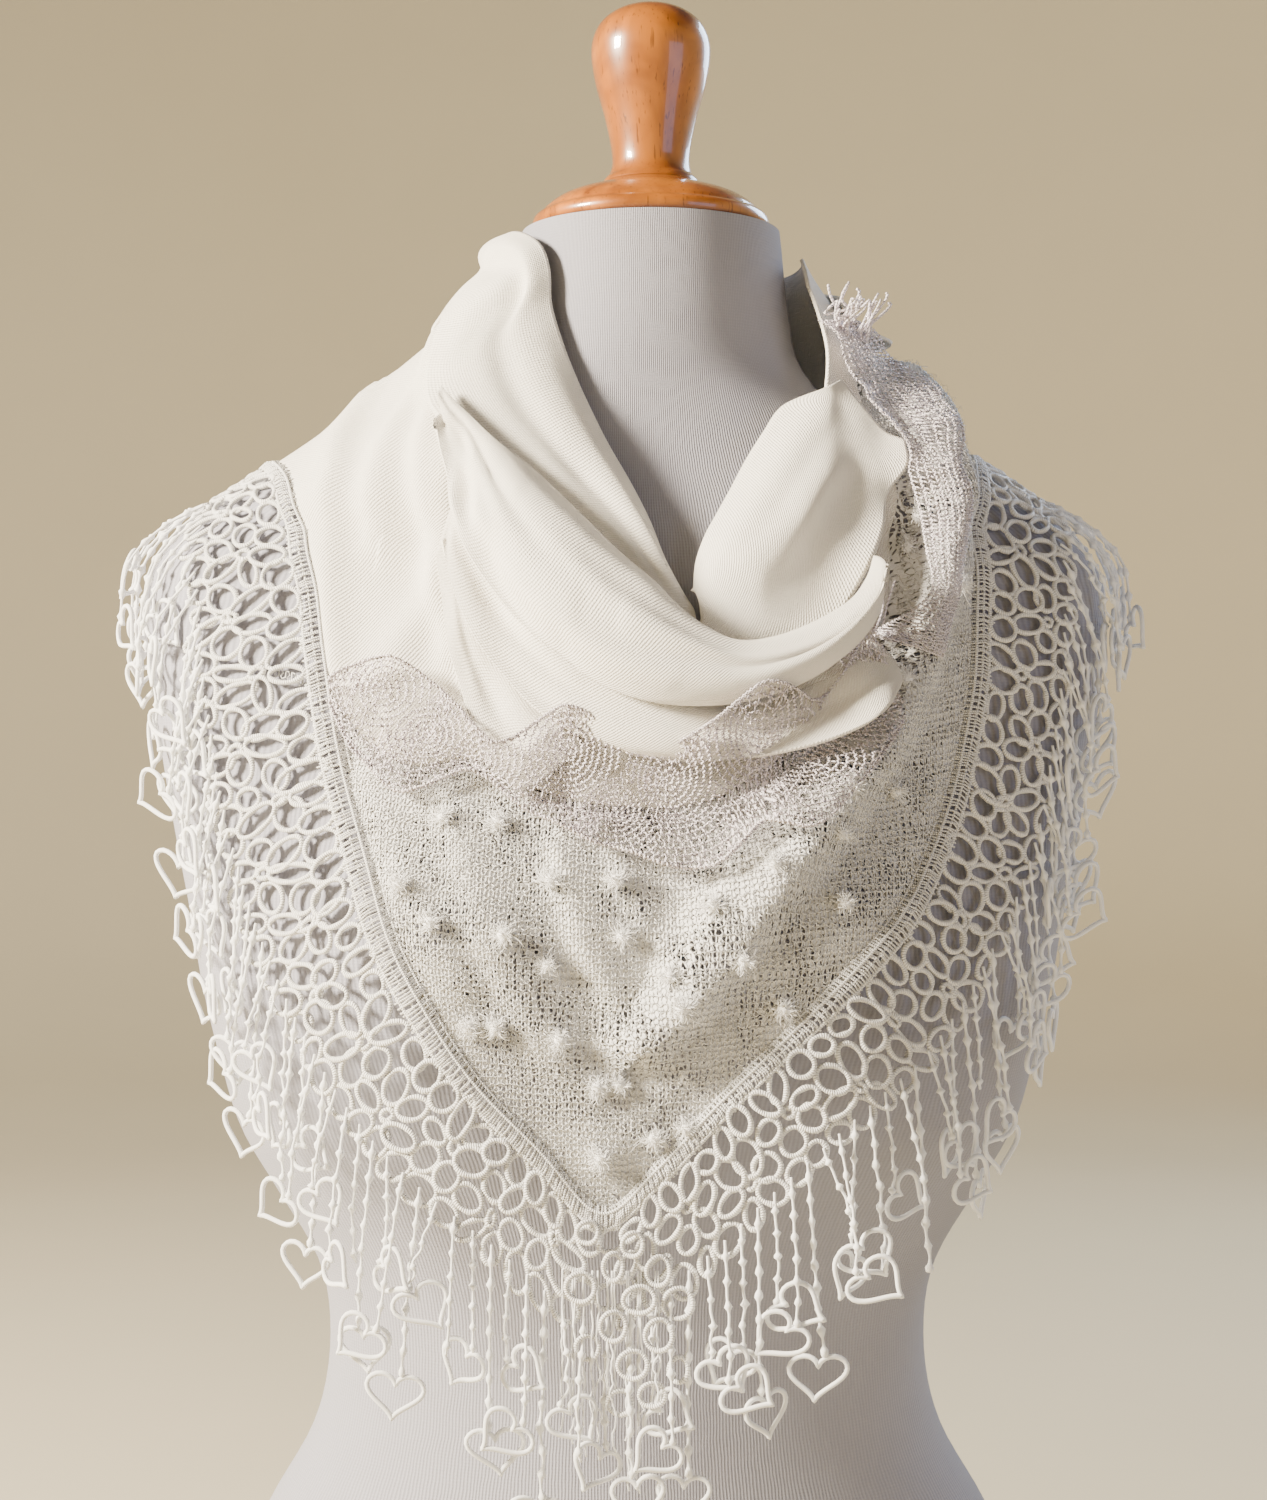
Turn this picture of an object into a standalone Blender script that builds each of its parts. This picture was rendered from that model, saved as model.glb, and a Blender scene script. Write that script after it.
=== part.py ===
"""A lace shawl wound round the neck of a limbless dress form.

The shawl is brushed cream wool with a corner of openwork knit. A scalloped crochet ruffle
covers the seam between the two, and a wide edging of ring lace runs along the hem and ends
in a fringe of small hearts. It lies in loops round the neck, over both shoulders and down
to a point in front. The form is a torso with a turned wooden cap and a handle at the neck.

Metres, +Z up. The front faces -Y, and +X is on the right of someone who looks at the front.
The origin is the middle of the form's flat base.
"""

import math
from collections import namedtuple

import bmesh
import bpy
import numpy as np
from mathutils import Vector
from mathutils.bvhtree import BVHTree

MM = 0.001

# Sizes that everything else follows, in millimetres.
NECK_TOP = 662
NECK_LEAN = 10
LEAN_FROM = 560
LEAN_OVER = 80
FORM_SEGMENTS = 30
TURNED_SEGMENTS = 18
CLOTH_CLEAR = 1.0
SEAM_GAP = 0.4
WOOL_THICK = 1.5
KNIT_THICK = 1.3
LACE_THICK = 1.5
EDGING_WIDTH = 45
TAPE_WIDTH = 5
RING_ROWS = 3
RING_PITCH = 20
BACK_RING_ROWS = 2
BACK_RING_PITCH = 26
RING_OPEN = 0.66
HEART_WIDTH = 18
THREAD = 1.5
STRIP_GAP = 0.6
STRIP_WIDTH = 2
STRIP_LIFT = 0.8
STRAND_ROOM = 2.8
LAYER_GAP = 1.4
FRILL_GAP = 0.7
SEAM_TAPER = 1.5
END_GAP = 0.006
RUFFLE_SEAM = 3
RELIEF_FADE = 0.18
FRINGE_STEP = 2.2
BACK_FRINGE_STEP = 16
ROOT_RUN = 3
ROOT_OUT = 2.2
SPREAD_FROM = 25
BEND_ABOVE = 440
SHARP_ANGLE = 50
LOOK_FROM = 300
LOOK_ROUND = [(0, 0), (-4, 0), (4, 0), (0, -5), (0, 5), (-3, -4), (3, 4), (-3, 4), (3, -4)]

Section = namedtuple("Section", "height half_width front back squareness")

# The form's sections from the base up: half its width, and its depth before and behind the axis.
FORM = [
    Section(0, 166, 96, 110, 2.2),
    Section(45, 171, 100, 116, 2.2),
    Section(100, 163, 98, 108, 2.2),
    Section(131, 150, 95, 100, 2.2),
    Section(165, 131, 91, 88, 2.1),
    Section(200, 124, 88, 80, 2.1),
    Section(235, 129, 91, 76, 2.1),
    Section(265, 146, 100, 76, 2.2),
    Section(290, 160, 111, 80, 2.3),
    Section(320, 169, 121, 84, 2.3),
    Section(350, 176, 127, 88, 2.3),
    Section(380, 181, 127, 91, 2.3),
    Section(410, 187, 120, 94, 2.3),
    Section(450, 194, 106, 96, 2.4),
    Section(480, 198, 95, 95, 2.5),
    Section(505, 199, 86, 93, 2.5),
    Section(522, 196, 80, 90, 2.5),
    Section(536, 185, 74, 87, 2.4),
    Section(548, 168, 69, 84, 2.3),
    Section(558, 148, 65, 80, 2.2),
    Section(570, 122, 62, 76, 2.1),
    Section(582, 98, 60, 71, 2.0),
    Section(594, 78, 58, 66, 2.0),
    Section(608, 65, 57, 62, 2.0),
    Section(625, 59, 56, 59, 2.0),
    Section(NECK_TOP, 54, 54, 56, 2.0),
]
# The heights where the form's solid has its rings.
FORM_LEVELS = [0, 45, 100, 150, 200, 250, 290, 330, 368, 405, 445, 480, 508, 528, 545, 560, 578, 598]
FORM_LEVELS += [625, NECK_TOP]
BUST = {"across": 80, "height": 368, "wide": 42, "tall": 50, "rise": 14}

# Where the cloth bunches round the neck and over the shoulders, it stands off the form.
COLLAR = [
    Section(520, 188, 78, 92, 2.4),
    Section(545, 172, 80, 104, 2.3),
    Section(556, 157, 79, 103, 2.2),
    Section(568, 139, 76, 100, 2.2),
    Section(580, 123, 72, 95, 2.1),
    Section(603, 101, 67, 84, 2.0),
    Section(624, 80, 62, 73, 2.0),
    Section(645, 65, 59, 63, 2.0),
    Section(NECK_TOP, 58, 57, 59, 2.0),
]


def smooth(rows, key, value, at):
    """A column of a table at any place, on a smooth curve through its rows.

    With no key, the rows are a step apart.
    """
    x = np.array([getattr(row, key) for row in rows] if key else range(len(rows)), float)
    y = np.array([getattr(row, value) for row in rows], float)
    slope = np.gradient(y, x)
    at = np.clip(at, x[0], x[-1])
    i = np.clip(np.searchsorted(x, at) - 1, 0, len(x) - 2)
    step = x[i + 1] - x[i]
    t = (at - x[i]) / step
    start = (2 * t**3 - 3 * t**2 + 1) * y[i] + (t**3 - 2 * t**2 + t) * step * slope[i]
    end = (3 * t**2 - 2 * t**3) * y[i + 1] + (t**3 - t**2) * step * slope[i + 1]
    return start + end


def section_radius(rows, angle, height):
    """How far a section's outline is from the axis. Angle 0 is the front, 90 is +X."""
    turn = np.radians(angle)
    half = smooth(rows, "height", "half_width", height)
    front = smooth(rows, "height", "front", height)
    back = smooth(rows, "height", "back", height)
    power = smooth(rows, "height", "squareness", height)
    deep = np.where(np.cos(turn) > 0, front, back)
    sides = np.abs(np.sin(turn) / half) ** power + np.abs(np.cos(turn) / deep) ** power
    return sides ** (-1 / power)


def form_radius(angle, height):
    """The dress form's surface, with its bust."""
    radius = section_radius(FORM, angle, height)
    across = np.abs(radius * np.sin(np.radians(angle)))
    near = ((across - BUST["across"]) / BUST["wide"]) ** 2
    near = near + ((height - BUST["height"]) / BUST["tall"]) ** 2
    facing = np.clip(np.cos(np.radians(angle)), 0, 1)
    return radius + BUST["rise"] * np.exp(-near) * facing


def lean(height):
    """How far the neck stands to one side at a height."""
    t = np.clip((height - LEAN_FROM) / LEAN_OVER, 0, 1)
    return NECK_LEAN * t * t * (3 - 2 * t)


def place(angle, radius, height):
    """A point round the form's axis, in metres."""
    turn = np.radians(angle)
    across = radius * np.sin(turn) + lean(height)
    return np.stack([across, -radius * np.cos(turn), height + 0 * across], axis=-1) * MM


# The drape: what a cloth that hangs over the form follows. Down each angle it touches the
# form's widest places and hangs straight below them. Reach is the way down the cloth from
# the top of the neck, in millimetres.
ANGLE_STEP = 2.5
REACH_STEP = 4.0
LEVEL_STEP = 2.0
SLOPE_RUN = 8
DRAPE_FOOT = 60
LONGEST_REACH = 560
MEAN_RADIUS = 125
HEM_SAMPLES = 600
STATION_NUDGE = 0.01
DRAPE_ANGLES = np.arange(-180, 181, ANGLE_STEP)
REACHES = np.arange(0, LONGEST_REACH, REACH_STEP)


def drape_profiles():
    """The drape's radius and height at each of DRAPE_ANGLES and REACHES."""
    heights = np.arange(NECK_TOP, DRAPE_FOOT, -LEVEL_STEP)
    turned, level = np.meshgrid(DRAPE_ANGLES, heights, indexing="ij")
    hung = np.maximum.accumulate(form_radius(turned, level), axis=1) + CLOTH_CLEAR
    bunched = section_radius(COLLAR, turned, np.maximum(level, COLLAR[0].height))
    radii = np.maximum(hung, np.where(level >= COLLAR[0].height, bunched, 0))
    radii = np.maximum.accumulate(radii, axis=1)
    steps = np.hypot(np.diff(radii, axis=1), np.diff(level, axis=1))
    down = np.concatenate([np.zeros((len(radii), 1)), np.cumsum(steps, axis=1)], axis=1)
    radius = np.array([np.interp(REACHES, d, r) for d, r in zip(down, radii)])
    height = np.array([np.interp(REACHES, d, z) for d, z in zip(down, level)])
    return radius, height


DRAPE_RADIUS, DRAPE_HEIGHT = drape_profiles()


def read_profile(table, angle, reach):
    """A drape profile between its rows and columns."""
    along = np.mod(np.asarray(angle, float) + 180, 360) / ANGLE_STEP
    down = np.clip(np.asarray(reach, float) / REACH_STEP, 0, len(REACHES) - 1.001)
    i, j = np.floor(along).astype(int), np.floor(down).astype(int)
    i = np.clip(i, 0, len(DRAPE_ANGLES) - 2)
    u, v = along - i, down - j
    near = table[i, j] * (1 - v) + table[i, j + 1] * v
    far = table[i + 1, j] * (1 - v) + table[i + 1, j + 1] * v
    return near * (1 - u) + far * u


def drape_point(angle, reach, out):
    """A point off the drape by `out`, square to the cloth."""
    angle, reach, out = np.broadcast_arrays(
        np.asarray(angle, float), np.asarray(reach, float), np.asarray(out, float)
    )
    radius = read_profile(DRAPE_RADIUS, angle, reach)
    height = read_profile(DRAPE_HEIGHT, angle, reach)
    above, below = reach - SLOPE_RUN, reach + SLOPE_RUN
    wider = read_profile(DRAPE_RADIUS, angle, below) - read_profile(DRAPE_RADIUS, angle, above)
    lower = read_profile(DRAPE_HEIGHT, angle, above) - read_profile(DRAPE_HEIGHT, angle, below)
    size = np.hypot(wider, lower)
    return place(angle, radius + out * lower / size, height + out * wider / size)


# The edges of the cloth on the drape: the hem that the edging is sewn to with the edging's
# outer edge across from it, the seam between wool and knit, and the wool's upper edge.
Hem = namedtuple("Hem", "station angle reach edge_angle edge_reach")
HEM = [
    Hem(-12.0, -180, 150, -180, 195),
    Hem(-11.0, -150, 148, -150, 193),
    Hem(-10.0, -120, 142, -122, 187),
    Hem(-9.0, -95, 136, -98, 178),
    Hem(-8.0, -71, 140, -81, 177),
    Hem(-7.0, -60, 168, -73, 206),
    Hem(-6.0, -54, 200, -70, 237),
    Hem(-5.0, -47.5, 240, -66, 278),
    Hem(-4.0, -38, 284, -58, 322),
    Hem(-3.0, -30.5, 322, -47, 360),
    Hem(-2.0, -23, 352, -35, 392),
    Hem(-1.0, -13.5, 376, -21, 419),
    Hem(0.0, -4, 398, -5, 444),
    Hem(1.0, 5, 382, 11, 426),
    Hem(2.0, 14, 360, 23.5, 399),
    Hem(3.0, 25, 334, 36, 372),
    Hem(4.0, 34, 312, 48, 350),
    Hem(5.0, 43, 289, 58, 322),
    Hem(6.0, 51.5, 258, 66, 292),
    Hem(7.0, 57.5, 223, 70, 252),
    Hem(8.0, 62, 187, 73, 216),
    Hem(9.0, 67, 155, 77, 187),
    Hem(10.0, 80, 133, 86, 172),
    Hem(11.0, 101, 130, 103, 172),
    Hem(12.0, 122, 136, 124, 181),
    Hem(13.0, 150, 146, 151, 191),
    Hem(14.0, 180, 150, 180, 195),
]
LEFT_SHOULDER, TIP, RIGHT_SHOULDER = -9.0, 0.0, 11.0
WOOL_JOIN, KNIT_JOIN = -2.7, 8.7

Seam = namedtuple("Seam", "angle reach hem_station")
SEAM = [
    Seam(-52, 213, -5.45),
    Seam(-45, 229, -4.7),
    Seam(-38.5, 236, -4.1),
    Seam(-27, 231, -3.0),
    Seam(-17, 240, -2.0),
    Seam(-8, 245, -1.0),
    Seam(3, 247, 0.0),
    Seam(13, 246, 1.0),
    Seam(22, 238, 2.0),
    Seam(31, 226, 3.0),
    Seam(38, 217, 4.0),
    Seam(44, 207, 5.0),
    Seam(48, 192, 6.0),
    Seam(51, 176, 7.0),
    Seam(54, 157, 7.8),
    Seam(57, 138, 8.5),
    Seam(61, 107, 9.2),
    Seam(66, 72, 9.9),
    Seam(78, 52, 10.6),
    Seam(100, 60, 11.4),
    Seam(125, 84, 12.2),
    Seam(150, 141, 13.0),
]

WoolTop = namedtuple("WoolTop", "angle reach")
WOOL_TOP = [
    WoolTop(-180, 14),
    WoolTop(-75, 14),
    WoolTop(-64, 24),
    WoolTop(-54, 44),
    WoolTop(-38, 76),
    WoolTop(-18, 106),
    WoolTop(-1, 134),
    WoolTop(8, 158),
    WoolTop(16, 176),
    WoolTop(23, 152),
    WoolTop(36, 116),
    WoolTop(46, 97),
    WoolTop(54, 84),
    WoolTop(60, 60),
    WoolTop(67, 28),
    WoolTop(78, 14),
    WoolTop(180, 14),
]

# Folds: a ridge along a line on the drape, soft on one side and steeper on the other.
FoldPoint = namedtuple("FoldPoint", "angle reach")
Fold = namedtuple("Fold", "points height left_width right_width")
KNIT_FOLDS = {
    "roll": Fold(
        [
            FoldPoint(92, 84),
            FoldPoint(68, 128),
            FoldPoint(59, 167),
            FoldPoint(51.5, 200),
            FoldPoint(41, 238),
            FoldPoint(27, 270),
            FoldPoint(17, 297),
            FoldPoint(10, 319),
            FoldPoint(4, 334),
        ],
        14,
        14,
        8,
    ),
    "left_edge": Fold(
        [FoldPoint(-11, 262), FoldPoint(-6, 300), FoldPoint(-1, 320), FoldPoint(4, 334)], 5, 6, 16
    ),
    "under_tip": Fold([FoldPoint(-19, 300), FoldPoint(-9, 338), FoldPoint(-4, 372)], 2.5, 12, 12),
    "outer": Fold([FoldPoint(56, 232), FoldPoint(43, 272), FoldPoint(24, 316)], 2, 14, 14),
}
WOOL_FOLDS = {
    "crease": Fold(
        [FoldPoint(-76, 30), FoldPoint(-51, 92), FoldPoint(-42, 143), FoldPoint(-34, 190)], 7, 7, 18
    ),
    "left_edge": Fold(
        [FoldPoint(-76, 92), FoldPoint(-63, 128), FoldPoint(-58, 165), FoldPoint(-52.5, 204)], 6, 14, 5
    ),
    "back_left": Fold([FoldPoint(-120, 30), FoldPoint(-112, 80), FoldPoint(-108, 128)], 3.5, 14, 14),
    "back_right": Fold([FoldPoint(140, 28), FoldPoint(150, 80), FoldPoint(158, 130)], 3.5, 14, 14),
    "back_middle": Fold([FoldPoint(-172, 40), FoldPoint(-165, 90), FoldPoint(-162, 134)], 3, 16, 12),
}

# The loops of wool round the neck: each is a band that swells between an upper and a lower
# edge. A row gives the three places at one crossing of the band.
Crossing = namedtuple(
    "Crossing",
    "top_angle top_height top_radius belly_angle belly_height belly_radius"
    " foot_angle foot_height foot_radius",
)
LOOPS = {
    "wool_fold_low": [
        Crossing(-37, 540, 100, -38, 532, 102, -39, 522, 102),
        Crossing(-28, 505, 110, -32, 500, 113, -34, 490, 110),
        Crossing(-22, 480, 114, -27, 474, 118, -29, 462, 115),
        Crossing(-14, 458, 117, -20, 452, 122, -24, 441, 119),
        Crossing(-6, 446, 119, -12, 439, 122, -18, 431, 120),
    ],
    "wool_fold_middle": [
        Crossing(-36, 541, 98, -36, 534, 101, -36, 526, 100),
        Crossing(-30, 532, 104, -32, 521, 109, -33, 509, 106),
        Crossing(-20, 512, 108, -24, 498, 119, -26, 484, 114),
        Crossing(-10, 488, 112, -14, 476, 123, -17, 463, 117),
        Crossing(1, 474, 116, -3, 461, 126, -6, 449, 120),
        Crossing(13, 464, 120, 9, 453, 130, 6, 442, 122),
        Crossing(24, 462, 124, 22, 452, 133, 20, 443, 126),
        Crossing(34, 472, 128, 34, 463, 135, 33, 453, 130),
        Crossing(44, 489, 132, 44, 480.5, 140, 43, 470, 137),
    ],
    "wool_loop_inner": [
        Crossing(-284, 632, 61, -284, 625, 64, -284, 618, 66),
        Crossing(-258, 640, 62, -257, 629, 68, -256, 616, 71),
        Crossing(-220, 651, 62, -219, 635, 75, -218, 612, 79),
        Crossing(-180, 655, 63, -180, 638, 78, -180, 612, 82),
        Crossing(-140, 658, 63, -140, 642, 79, -140, 616, 83),
        Crossing(-110, 660, 62, -110, 646, 76, -110, 620, 80),
        Crossing(-84, 660, 62, -88, 645, 74, -92, 622, 77),
        Crossing(-60, 657, 61, -66, 643, 73, -76, 625, 76),
        Crossing(-44, 646, 61, -50, 636, 72, -63, 616, 77),
        Crossing(-38, 624, 63, -44, 610, 75, -54, 592, 80),
        Crossing(-25, 600, 65, -31, 584, 80, -38, 566, 84),
        Crossing(-9, 572, 69, -13, 555, 84, -18, 540, 87),
        Crossing(4, 543, 78, 1, 529, 92, -1, 517, 95),
        Crossing(10, 519, 88, 9, 507, 101, 8, 497, 104),
        Crossing(15, 500, 95, 15, 492, 104, 15, 484, 107),
    ],
    "wool_tuck_right": [
        Crossing(14, 507, 98, 15, 502, 107, 17, 494, 112),
        Crossing(18, 526, 94, 24, 513, 116, 28, 496, 124),
        Crossing(25, 543, 90, 32, 527, 119, 38, 505, 131),
        Crossing(34, 563, 87, 40, 546, 118, 46, 522, 133),
        Crossing(46, 584, 85, 50, 566, 113, 54, 548, 126),
        Crossing(55, 593, 86, 57, 581, 104, 59, 568, 116),
    ],
    "wool_loop_outer": [
        Crossing(-45, 588, 86, -44, 582, 90, -43, 574, 91),
        Crossing(-38, 578, 90, -39, 568, 100, -40, 557, 99),
        Crossing(-31, 567, 92, -32, 552, 110, -34, 536, 107),
        Crossing(-24, 557, 93, -25, 534, 119, -27, 513, 115),
        Crossing(-16, 545, 96, -17, 513, 127, -18, 492, 121),
        Crossing(-9, 534, 98, -10, 501, 131, -11, 481, 123),
        Crossing(-2, 522, 102, -4, 491, 134, -6, 472, 125),
        Crossing(6, 509, 108, 3, 483, 137, 1, 465, 127),
        Crossing(13, 495, 114, 11, 478, 140, 9, 462, 129),
        Crossing(21, 487, 121, 19, 476, 143, 18, 463, 133),
        Crossing(31, 492, 126, 29, 484, 147, 28, 470, 138),
        Crossing(41, 506, 131, 38, 500, 149, 37, 485, 142),
        Crossing(47, 524, 133, 45, 519, 146, 45, 505, 143),
    ],
}

# The ruffle: how far it stands above and below the seam, and off the cloth, at the top of
# each dome and in each dip between two domes.
Wave = namedtuple("Wave", "angle above below top_out low_out")
RUFFLE = [
    Wave(-51, 3, 3, 3, 4),
    Wave(-48, 14, 14, 5, 9),
    Wave(-41, 24, 16, 12, 4),
    Wave(-35, 16, 28, 4, 12),
    Wave(-30, 6, 36, 7, 4),
    Wave(-24, 3, 30, 3, 11),
    Wave(-17, 8, 30, 4, 4),
    Wave(-11, 19, 38, 13, 12),
    Wave(-4, 8, 46, 4, 4),
    Wave(2, 4, 58, 6, 14),
    Wave(8, 6, 50, 3, 5),
    Wave(14, 12, 46, 5, 12),
    Wave(21, 18, 38, 13, 4),
    Wave(27, 8, 42, 4, 13),
    Wave(33, 5, 32, 6, 4),
    Wave(38, 10, 26, 8, 10),
    Wave(42.6, 11, 14, 5, 5),
]
Frill = namedtuple("Frill", "inner_angle inner_reach outer_angle outer_reach out")
SHOULDER_FRILL = [
    Frill(58, 50, 70, 49, 4),
    Frill(58, 62, 76, 64, 9),
    Frill(59, 78, 76, 82, 4),
    Frill(58, 94, 71, 100, 9),
    Frill(57, 112, 65, 116, 4),
    Frill(56, 128, 61, 131, 7),
    Frill(54, 144, 59, 147, 4),
    Frill(52, 160, 57, 162, 7),
    Frill(50, 174, 55, 177, 4),
    Frill(46, 186, 53, 190, 8),
    Frill(43.7, 190, 51, 202, 5),
]

# The turned wood: rings of the neck cap and of the handle, from the bottom up.
Ring = namedtuple("Ring", "height radius")
CAP = [
    Ring(NECK_TOP + 0.4, 47),
    Ring(664, 49.5),
    Ring(668, 49.5),
    Ring(670.5, 46.6),
    Ring(674, 42.5),
    Ring(677, 37.6),
    Ring(680, 28),
    Ring(682, 22),
    Ring(683, 20.5),
]
HANDLE = [
    Ring(683.4, 20),
    Ring(685, 19.4),
    Ring(687, 17.4),
    Ring(692, 16.2),
    Ring(700, 17),
    Ring(712, 19.6),
    Ring(724, 23),
    Ring(735, 24.9),
    Ring(743, 24.6),
    Ring(750, 21.5),
    Ring(755, 15.5),
    Ring(757.8, 8),
]
HANDLE_TOP = 758.6

# The fringe: strands that take turns in length, in how far they stand off and in their hearts.
Strand = namedtuple("Strand", "length out spread mirrored tilt")
STRANDS = [
    Strand(34, 3, 0.5, False, 6),
    Strand(50, 6.5, 1.5, True, -8),
    Strand(26, 4, 1, True, 5),
    Strand(42, 9, 2.5, False, -4),
    Strand(58, 5, 2, False, 10),
    Strand(22, 7.5, 3, True, 0),
    Strand(38, 11, 1, True, 8),
]

# The heart's curve: the turns round it where it has its points, and the sizes of the waves
# that make up its width and its height.
HEART_TURNS = [0, 33, 43, 75, 115, 180, 245, 285, 327]
HEART_HOLD = 1
HEART_ACROSS = 16
HEART_UP = [13, -5, -2, -1]

COLOURS = {
    "jersey": ((0.80, 0.79, 0.80), 0.9),
    "varnished_wood": ((0.55, 0.24, 0.05), 0.2),
    "wool": ((0.90, 0.87, 0.80), 0.9),
    "knit": ((0.88, 0.87, 0.84), 0.9),
    "ruffle_yarn": ((0.78, 0.75, 0.78), 0.5),
    "lace": ((0.86, 0.86, 0.87), 0.5),
    "thread": ((0.85, 0.86, 0.88), 0.5),
}


def clear_scene():
    """Take away whatever the scene holds."""
    for item in list(bpy.data.objects):
        bpy.data.objects.remove(item, do_unlink=True)


def material(name):
    """The material of a finish, made once."""
    found = bpy.data.materials.get(name)
    if found:
        return found
    colour, roughness = COLOURS[name]
    made = bpy.data.materials.new(name)
    made.use_nodes = True
    shader = made.node_tree.nodes["Principled BSDF"]
    shader.inputs["Base Color"].default_value = (*colour, 1)
    shader.inputs["Roughness"].default_value = roughness
    return made


def solid(name, points, faces, finish):
    """A closed solid as an object of its own."""
    mesh = bpy.data.meshes.new(name)
    mesh.from_pydata([tuple(p) for p in points], [], [tuple(f) for f in faces])
    shape = bmesh.new()
    shape.from_mesh(mesh)
    bmesh.ops.recalc_face_normals(shape, faces=shape.faces)
    shape.to_mesh(mesh)
    shape.free()
    mesh.shade_smooth()
    mesh.set_sharp_from_angle(angle=math.radians(SHARP_ANGLE))
    mesh.materials.append(material(finish))
    made = bpy.data.objects.new(name, mesh)
    bpy.context.scene.collection.objects.link(made)
    return made


def grid_faces(rows, columns):
    """The quads of a grid."""
    return [
        (i * columns + j, (i + 1) * columns + j, (i + 1) * columns + j + 1, i * columns + j + 1)
        for i in range(rows - 1)
        for j in range(columns - 1)
    ]


def halved(points, face):
    """A quad's two triangles, split along its shorter diagonal. Other faces stay whole."""
    if len(face) != 4:
        return [face]
    a, b, c, d = face
    if np.linalg.norm(points[a] - points[c]) <= np.linalg.norm(points[b] - points[d]):
        return [(a, b, c), (a, c, d)]
    return [(a, b, d), (b, c, d)]


def thick(name, outer, inner, faces, finish):
    """A wall between an outer and an inner copy of the same faces, closed along its edges.

    Both copies of a quad are split along the same diagonal, so that they never cross.
    """
    outer = np.asarray(outer).reshape(-1, 3)
    inner = np.asarray(inner).reshape(-1, 3)
    count = len(outer)
    faces = [half for face in faces for half in halved(outer, face)]
    edges = {(a, b) for face in faces for a, b in zip(face, face[1:] + face[:1])}
    rims = [(b, a, a + count, b + count) for a, b in sorted(edges) if (b, a) not in edges]
    backs = [tuple(v + count for v in reversed(face)) for face in faces]
    return solid(name, np.concatenate([outer, inner]), list(faces) + backs + rims, finish)


def grid_normals(grid):
    """The direction square to a grid of points, away from the form's axis."""
    down = np.gradient(grid, axis=1)
    along = np.gradient(grid, axis=0)
    normal = np.cross(down, along)
    normal /= np.linalg.norm(normal, axis=2, keepdims=True)
    outward = grid * np.array([1, 1, 0])
    turn = np.sign(np.sum(normal * outward, axis=2).mean())
    return normal * turn


def inset(grid, gap, sides):
    """Draw a grid's edges in by a gap, so that neighbours don't touch."""
    grid = grid.copy()
    normal = grid_normals(grid)
    ends = {"first": (0, 1), "last": (-1, -2)}
    for side in sides:
        axis, end = side.split()
        edge, inside = ends[end]
        lay = grid if axis == "row" else grid.transpose(1, 0, 2)
        square = normal if axis == "row" else normal.transpose(1, 0, 2)
        along = np.gradient(lay[edge], axis=0)
        inward = np.cross(along, square[edge])
        inward /= np.linalg.norm(inward, axis=1, keepdims=True)
        facing = np.sign(np.sum(inward * (lay[inside] - lay[edge]), axis=1))
        lay[edge] += inward * facing[:, None] * gap * MM
    return grid


def curve(rows, key, at):
    """Every column of a table at a list of places, smoothed."""
    names = [name for name in rows[0]._fields if name != key]
    return {name: smooth(rows, key, name, np.asarray(at, float)) for name in names}


def fold_relief(folds, angle, reach):
    """How far the folds lift the cloth at a place."""
    lift = np.zeros(np.broadcast(angle, reach).shape)
    for fold in folds.values():
        best = np.full(lift.shape, 1e9)
        side = np.zeros(lift.shape)
        scale = math.radians(1) * MEAN_RADIUS
        for a, b in zip(fold.points, fold.points[1:]):
            run = np.array([(b.angle - a.angle) * scale, b.reach - a.reach])
            x = (angle - a.angle) * scale
            y = reach - a.reach
            t = np.clip((x * run[0] + y * run[1]) / (run @ run), 0, 1)
            away = np.hypot(x - t * run[0], y - t * run[1])
            turn = np.where(x * run[1] - y * run[0] < 0, -1, 1)
            side = np.where(away < best, turn, side)
            best = np.minimum(best, away)
        width = np.where(side < 0, fold.left_width, fold.right_width)
        lift = np.maximum(lift, fold.height * np.exp(-((best / width) ** 2)))
    return lift


def hem_place(station, across):
    """Angle and reach on the edging: across 0 is the hem, EDGING_WIDTH the outer edge."""
    station = np.asarray(station, float)
    whole_turn = HEM[-1].station - HEM[0].station
    row = curve(HEM, "station", np.where(station > HEM[-1].station, station - whole_turn, station))
    share = across / EDGING_WIDTH
    angle = row["angle"] + (row["edge_angle"] - row["angle"]) * share
    reach = row["reach"] + (row["edge_reach"] - row["reach"]) * share
    return angle, reach


def hem_stations(first, last, pitch):
    """Stations along the edging, half a pitch apart at its middle."""
    fine = np.linspace(first, last, HEM_SAMPLES)
    points = drape_point(*hem_place(fine, EDGING_WIDTH / 2), LACE_THICK) / MM
    run = np.concatenate([[0], np.cumsum(np.linalg.norm(np.diff(points, axis=0), axis=1))])
    cells = max(1, round(run[-1] / pitch))
    return np.interp(np.linspace(0, run[-1], 2 * cells + 1), run, fine)


# The stations of the edging's rings, and those of the cloth's columns, which end at every
# second one, so that neighbours share their edges. The cloth's run from the left shoulder
# round the front to the left shoulder again.
WHOLE_TURN = HEM[-1].station - HEM[0].station
LEFT_STATIONS = hem_stations(LEFT_SHOULDER, TIP, RING_PITCH)
RIGHT_STATIONS = hem_stations(TIP, RIGHT_SHOULDER, RING_PITCH)
BACK_STATIONS = hem_stations(RIGHT_SHOULDER, LEFT_SHOULDER + WHOLE_TURN, BACK_RING_PITCH)
COLUMNS = np.concatenate([LEFT_STATIONS[:-1:2], RIGHT_STATIONS[:-1:2], BACK_STATIONS[::2]])
KNIT_FIRST = COLUMNS[COLUMNS < SEAM[0].hem_station][-1]
KNIT_LAST = COLUMNS[COLUMNS > SEAM[-1].hem_station][0]


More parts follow.
